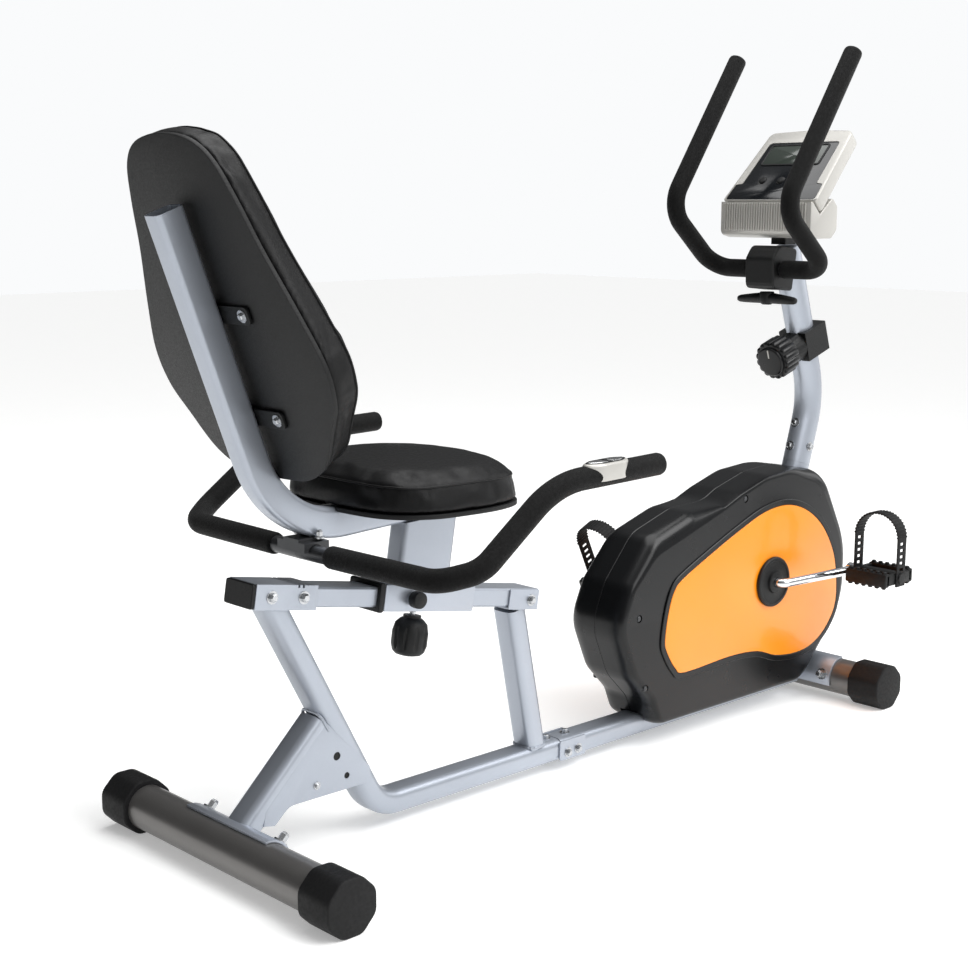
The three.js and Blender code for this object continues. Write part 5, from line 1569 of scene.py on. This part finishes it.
class BIKE_OT_console(Step, bpy.types.Operator):
    """The computer on top of the mast: shell, dark face, display, buttons and the ribbed drum"""

    bl_idname = "bike.console"
    bl_label = "Console"

    def execute(self, context):
        self.shell()
        self.face()
        self.drum()
        return {"FINISHED"}

    def shell(self):
        outline = rounded([(-105, 0, 8), (105, 0, 8), (91, 178, 14), (0, 183, 300), (-91, 178, 14)], 6)
        piece = build("console_shell", [slab(outline, -30, 0, (6, 3), CONSOLE, 5)], "console", 40)
        well = rounded(
            [
                (-100, 3, 5), (100, 3, 5), (97, 42, 5), (83, 44, 3), (78, 150, 8), (-78, 150, 8),
                (-83, 44, 3), (-97, 42, 5)
            ],
            4
        )
        carve(piece, [slab(well, -3, 6, (0, 0), CONSOLE)], 40)
        install(piece, "frame", "console_silver", "console_housing")

    def face(self):
        plate = rounded(
            [
                (-99.4, 3.6, 5), (99.4, 3.6, 5), (96.4, 41.4, 5), (82.4, 43.4, 3), (77.4, 149.4, 8),
                (-77.4, 149.4, 8), (-82.4, 43.4, 3), (-96.4, 41.4, 5)
            ],
            4
        )
        piece = build("console_face_plate", [slab(plate, -2.8, -0.6, (0.2, 0.6), CONSOLE, 3)], "face", 40)
        holes = [
            lathe(
                [(0, -8), (8.5, -8), (8.5, 4), (0, 4)], on(CONSOLE, u, 52), FACE_OUT, 32
            ) for u in (41, 0, -41)
        ]
        carve(piece, holes, 40)
        install(piece, "frame", "display_black", "console_face")
        glass = rounded([(-66, 94, 3), (58, 94, 3), (58, 141, 3), (-66, 141, 3)], 4)
        install(
            build("console_display", [slab(glass, -1.2, -0.1, (0.2, 0.4), CONSOLE, 2)], "display", 40),
            "frame", "display_black"
        )
        frame_rings = [
            (inset(glass, -4), -1.0), (inset(glass, -4), 0.2), (inset(glass, -3), 0.9),
            (inset(glass, -0.6), 0.9), (inset(glass, 0.2), 0.1), (inset(glass, 0.2), -1.0)
        ]
        install(
            build("console_display_frame", [loft(frame_rings, CONSOLE, True)], "plastic", 30), "frame",
            "black_plastic"
        )
        for i, u in enumerate((41, 0, -41)):
            profile = [(0, -6), (7.4, -6), (7.8, -4), (7.6, 0.6), (6.8, 1.6), (5, 2.1), (0, 1.7)]
            button = lathe(profile, on(CONSOLE, u, 52), FACE_OUT, 40)
            node = "console_button_%d" % (i + 1)
            install(
                build(node + "_cap", [button], "plastic", 50), "button_%d" % (i + 1), "black_plastic",
                node
            )

    def drum(self):
        outline = rounded(
            [
                (1197, 943, 0), (1203, 943, 0), (1225.6, 921.2, 0), (1262, 950, 6), (1278, 935, 6),
                (1278, 892, 14), (1262, 878, 4), (1222, 878, 12), (1197, 884, 12)
            ],
            6
        )
        body = slab(outline, -101, 101, (2.5, 2.5), SIDE, 4)
        install(build("console_drum_body", [body], "console", 35), "frame", "console_silver", "console_drum")
        pitch = self.sizes.rib_pitch
        count = int(0.19 / pitch)
        rib = slab(
            rounded([(1194.2, 941, 1), (1199, 941, 1), (1199, 889, 1), (1194.2, 893, 3)], 3), -1.5, 1.5,
            (0.9, 0.9), SIDE, 3
        )
        piece = build("console_drum_ribs", [rib], "console", 40)
        tree = bpy.data.node_groups.get("row_of_copies") or row_tree()
        values = {
            "Count": count,
            "Step": (0.0, pitch, 0.0),
            "Start": (0.0, -pitch * (count - 1) / 2, 0.0),
            "Material": MATERIALS["console"],
        }
        install(run_tree(piece, tree, values), "frame", "console_silver")


# ------------------------------------------------------------------ fasteners
class BIKE_OT_fasteners(Step, bpy.types.Operator):
    """Every visible screw, bolt and cap nut, and the sewn tag"""

    bl_idname = "bike.fasteners"
    bl_label = "Fasteners"

    def execute(self, context):
        rear, front = [], []
        way = Vector((math.cos(math.radians(44)), 0, math.sin(math.radians(44))))
        for y in (-87, 87):
            rear.append((Vector((0, y, CAP_RADIUS)) + way * 38, way))
        way = Vector((-math.cos(math.radians(12)), 0, math.sin(math.radians(12))))
        for y in (-81, 81):
            front.append((Vector((WHEELBASE, y, CAP_RADIUS)) + way * 38, way))
        screws("rear_saddle_nuts", "frame", rear, 7, 11, 6, 11)
        screws("front_saddle_nuts", "frame", front, 7, 11, 6, 11)
        bolts = []
        for x in (28, 84):
            bolts += [(on(RAIL, x, 0, s * 33.3), (0, s, 0)) for s in (-1, 1)]
        bolts += [(on(RAIL, 545, -3, s * 33.3), (0, s, 0)) for s in (-1, 1)]
        screws("rail_bolts", "frame", bolts, 6.5, 5.5, 6, 9.5)
        joint = [((x, s * 27.3, z), (0, s, 0)) for x, z in ((668, 31), (692, 33)) for s in (-1, 1)]
        joint += [((x, 0, 55), (0, 0, 1)) for x in (641, 687)]
        screws("joint_bolts", "frame", joint, 5.5, 5, 6, 8.5)
        gusset = [((140, s * 24.2, 104), (0, s, 0)) for s in (-1, 1)]
        screws("gusset_screws", "frame", gusset, 4, 3, 12, 6)
        mast = []
        for z in (478, 521):
            at = MAST_FOOT + MAST_ALONG * ((z - MAST_FOOT.z) / MAST_ALONG.z)
            back = Vector((-MAST_ALONG.z, 0, MAST_ALONG.x))
            mast.append((at + back * 29.5, back))
        at = MAST_FOOT + MAST_ALONG * ((484 - MAST_FOOT.z) / MAST_ALONG.z)
        mast += [(at + Vector((0, s * 22.6, 0)), (0, s, 0)) for s in (-1, 1)]
        screws("mast_bolts", "frame", mast, 6, 5, 6, 9)
        pads = [(on(BACK, u, up, 0.5), -BACK_OUT) for _, up in BRACKETS_UP for u in (-62, 62)]
        screws("backrest_bolts", "seat", pads, 5.5, 4, 6, 9)
        wells = [((x, s * 57.2, z), (0, s, 0)) for x, z in CASING_SCREWS for s in (-1, 1)]
        screws("casing_screws", "frame", wells, 4.4, 2.4, 16, 5.4, "dark_steel")
        clamp = [((140 + 13, s * 24, 473), (0, 0, 1)) for s in (-1, 1)]
        screws("seat_bar_bolts", "seat", clamp, 5, 8, 6, 8)
        tag = slab(
            rounded([(-9, 0, 1), (9, 0, 1), (9, 14, 1), (-9, 14, 1)], 2), 2, 3.2, (0.3, 0.3),
            (on(BACK, -14, 498, 10), *BACK[1:]), 2
        )
        install(build("backrest_tag", [tag], "tag"), "seat", "vinyl_black")
        return {"FINISHED"}


# ------------------------------------------------------------------ floor, light and camera
class BIKE_OT_stage(Step, bpy.types.Operator):
    """Pale floor, soft lights and the camera"""

    bl_idname = "bike.stage"
    bl_label = "Stage"

    def execute(self, context):
        scene = bpy.context.scene
        mesh = bpy.data.meshes.new("studio_floor")
        reach = 14.0
        mesh.from_pydata(
            [(-reach, -reach, 0), (reach, -reach, 0), (reach, reach, 0), (-reach, reach, 0)], [],
            [(0, 1, 2, 3)]
        )
        floor = bpy.data.objects.new("studio_floor", mesh)
        scene.collection.objects.link(floor)
        # A faint glow of its own keeps the paper floor as pale far off as it is near.
        paper = surface(
            "seamless_paper_white", srgb("#F2F2F1"), srgb("#EFEFEE"), (0.75, 0.85), 40.0, 0.02,
            Emission_Color=srgb("#FFFFFF"), Emission_Strength=0.32,
        )
        mesh.materials.append(paper)
        world = bpy.data.worlds.new("studio")
        scene.world = world
        world.use_nodes = True
        self.sky(world.node_tree)
        self.sun((0.36, -0.6, 0.9), 1.6)
        self.lamp("key", (700, -2800, 2300), 2.2, 45)
        self.lamp("top", (900, 200, 3300), 2.4, 60)
        self.lamp("front", (3400, -700, 1500), 1.8, 14)
        data = bpy.data.cameras.new("camera")
        camera = bpy.data.objects.new("camera", data)
        scene.collection.objects.link(camera)
        yaw, pitch = math.radians(47.05), math.radians(-10.81)
        forward = Vector((math.cos(yaw) * math.cos(pitch), math.sin(yaw) * math.cos(pitch), math.sin(pitch)))
        camera.location = row(-1230.5, -1831.9, 940.4)
        camera.rotation_mode = "QUATERNION"
        camera.rotation_quaternion = forward.to_track_quat("-Z", "Y")
        data.lens = 60.39
        data.sensor_width = 36
        data.shift_x = 0.0111
        data.shift_y = 0.0302
        data.clip_end = 100
        scene.camera = camera
        scene.view_settings.view_transform = "Standard"
        return {"FINISHED"}

    def sky(self, tree):
        """Light that comes mostly from above and from the rider's right; what is seen of it is pale."""
        way = add_node(tree, "ShaderNodeTexCoord").outputs["Generated"]
        facing = add_node(
            tree, "ShaderNodeVectorMath", {0: way, 1: (0.36, -0.6, 0.72)}, operation="DOT_PRODUCT"
        )
        amount = add_node(
            tree,
            "ShaderNodeMapRange",
            {
                "Value": facing.outputs["Value"], "From Min": -0.3, "From Max": 0.9, "To Min": 0.03,
                "To Max": 0.5
            },
        )
        seen = add_node(tree, "ShaderNodeLightPath").outputs["Is Camera Ray"]
        strength = add_node(
            tree, "ShaderNodeMix", {
                "Factor": seen, "A": amount.outputs["Result"], "B": 1.0
            }, data_type="FLOAT"
        )
        background = tree.nodes["Background"]
        background.inputs["Color"].default_value = srgb("#FAFBFC")
        tree.links.new(strength.outputs["Result"], background.inputs["Strength"])

    def sun(self, way, strength):
        """A very wide, soft light over the whole floor."""
        data = bpy.data.lights.new("sun", "SUN")
        data.angle = math.radians(35)
        data.energy = strength
        lamp = bpy.data.objects.new("sun", data)
        bpy.context.scene.collection.objects.link(lamp)
        lamp.rotation_mode = "QUATERNION"
        lamp.rotation_quaternion = (-Vector(way)).to_track_quat("-Z", "Y")

    def lamp(self, name, place, size, power):
        data = bpy.data.lights.new(name, "AREA")
        data.shape = "SQUARE"
        data.size = size
        data.energy = power
        lamp = bpy.data.objects.new(name, data)
        bpy.context.scene.collection.objects.link(lamp)
        lamp.location = row(*place)
        aim = row(650, 0, 450) - lamp.location
        lamp.rotation_mode = "QUATERNION"
        lamp.rotation_quaternion = aim.to_track_quat("-Z", "Y")


OPERATORS = (
    BIKE_OT_stage,
    BIKE_OT_materials,
    BIKE_OT_stabilisers,
    BIKE_OT_rear_frame,
    BIKE_OT_front_frame,
    BIKE_OT_seat_frame,
    BIKE_OT_cushions,
    BIKE_OT_seat_handlebar,
    BIKE_OT_casing,
    BIKE_OT_crank,
    BIKE_OT_mast,
    BIKE_OT_upper_handlebar,
    BIKE_OT_console,
    BIKE_OT_fasteners,
)


class BIKE_PT_panel(bpy.types.Panel):
    bl_label = "Exercise bike"
    bl_idname = "BIKE_PT_panel"
    bl_space_type = "VIEW_3D"
    bl_region_type = "UI"
    bl_category = "Bike"

    def draw(self, context):
        for group in (context.scene.bike_colours, context.scene.bike_sizes):
            for name in group.__annotations__:
                self.layout.prop(group, name)
        for step in OPERATORS:
            self.layout.operator(step.bl_idname)


CLASSES = (BikeColours, BikeSizes, *OPERATORS, BIKE_PT_panel)


def register():
    for each in CLASSES:
        bpy.utils.register_class(each)
    bpy.types.Scene.bike_colours = bpy.props.PointerProperty(type=BikeColours)
    bpy.types.Scene.bike_sizes = bpy.props.PointerProperty(type=BikeSizes)


def unregister():
    del bpy.types.Scene.bike_sizes
    del bpy.types.Scene.bike_colours
    for each in reversed(CLASSES):
        bpy.utils.unregister_class(each)


def main():
    register()
    for step in OPERATORS:
        group, name = step.bl_idname.split(".")
        getattr(getattr(bpy.ops, group), name)()


if __name__ == "__main__":
    main()
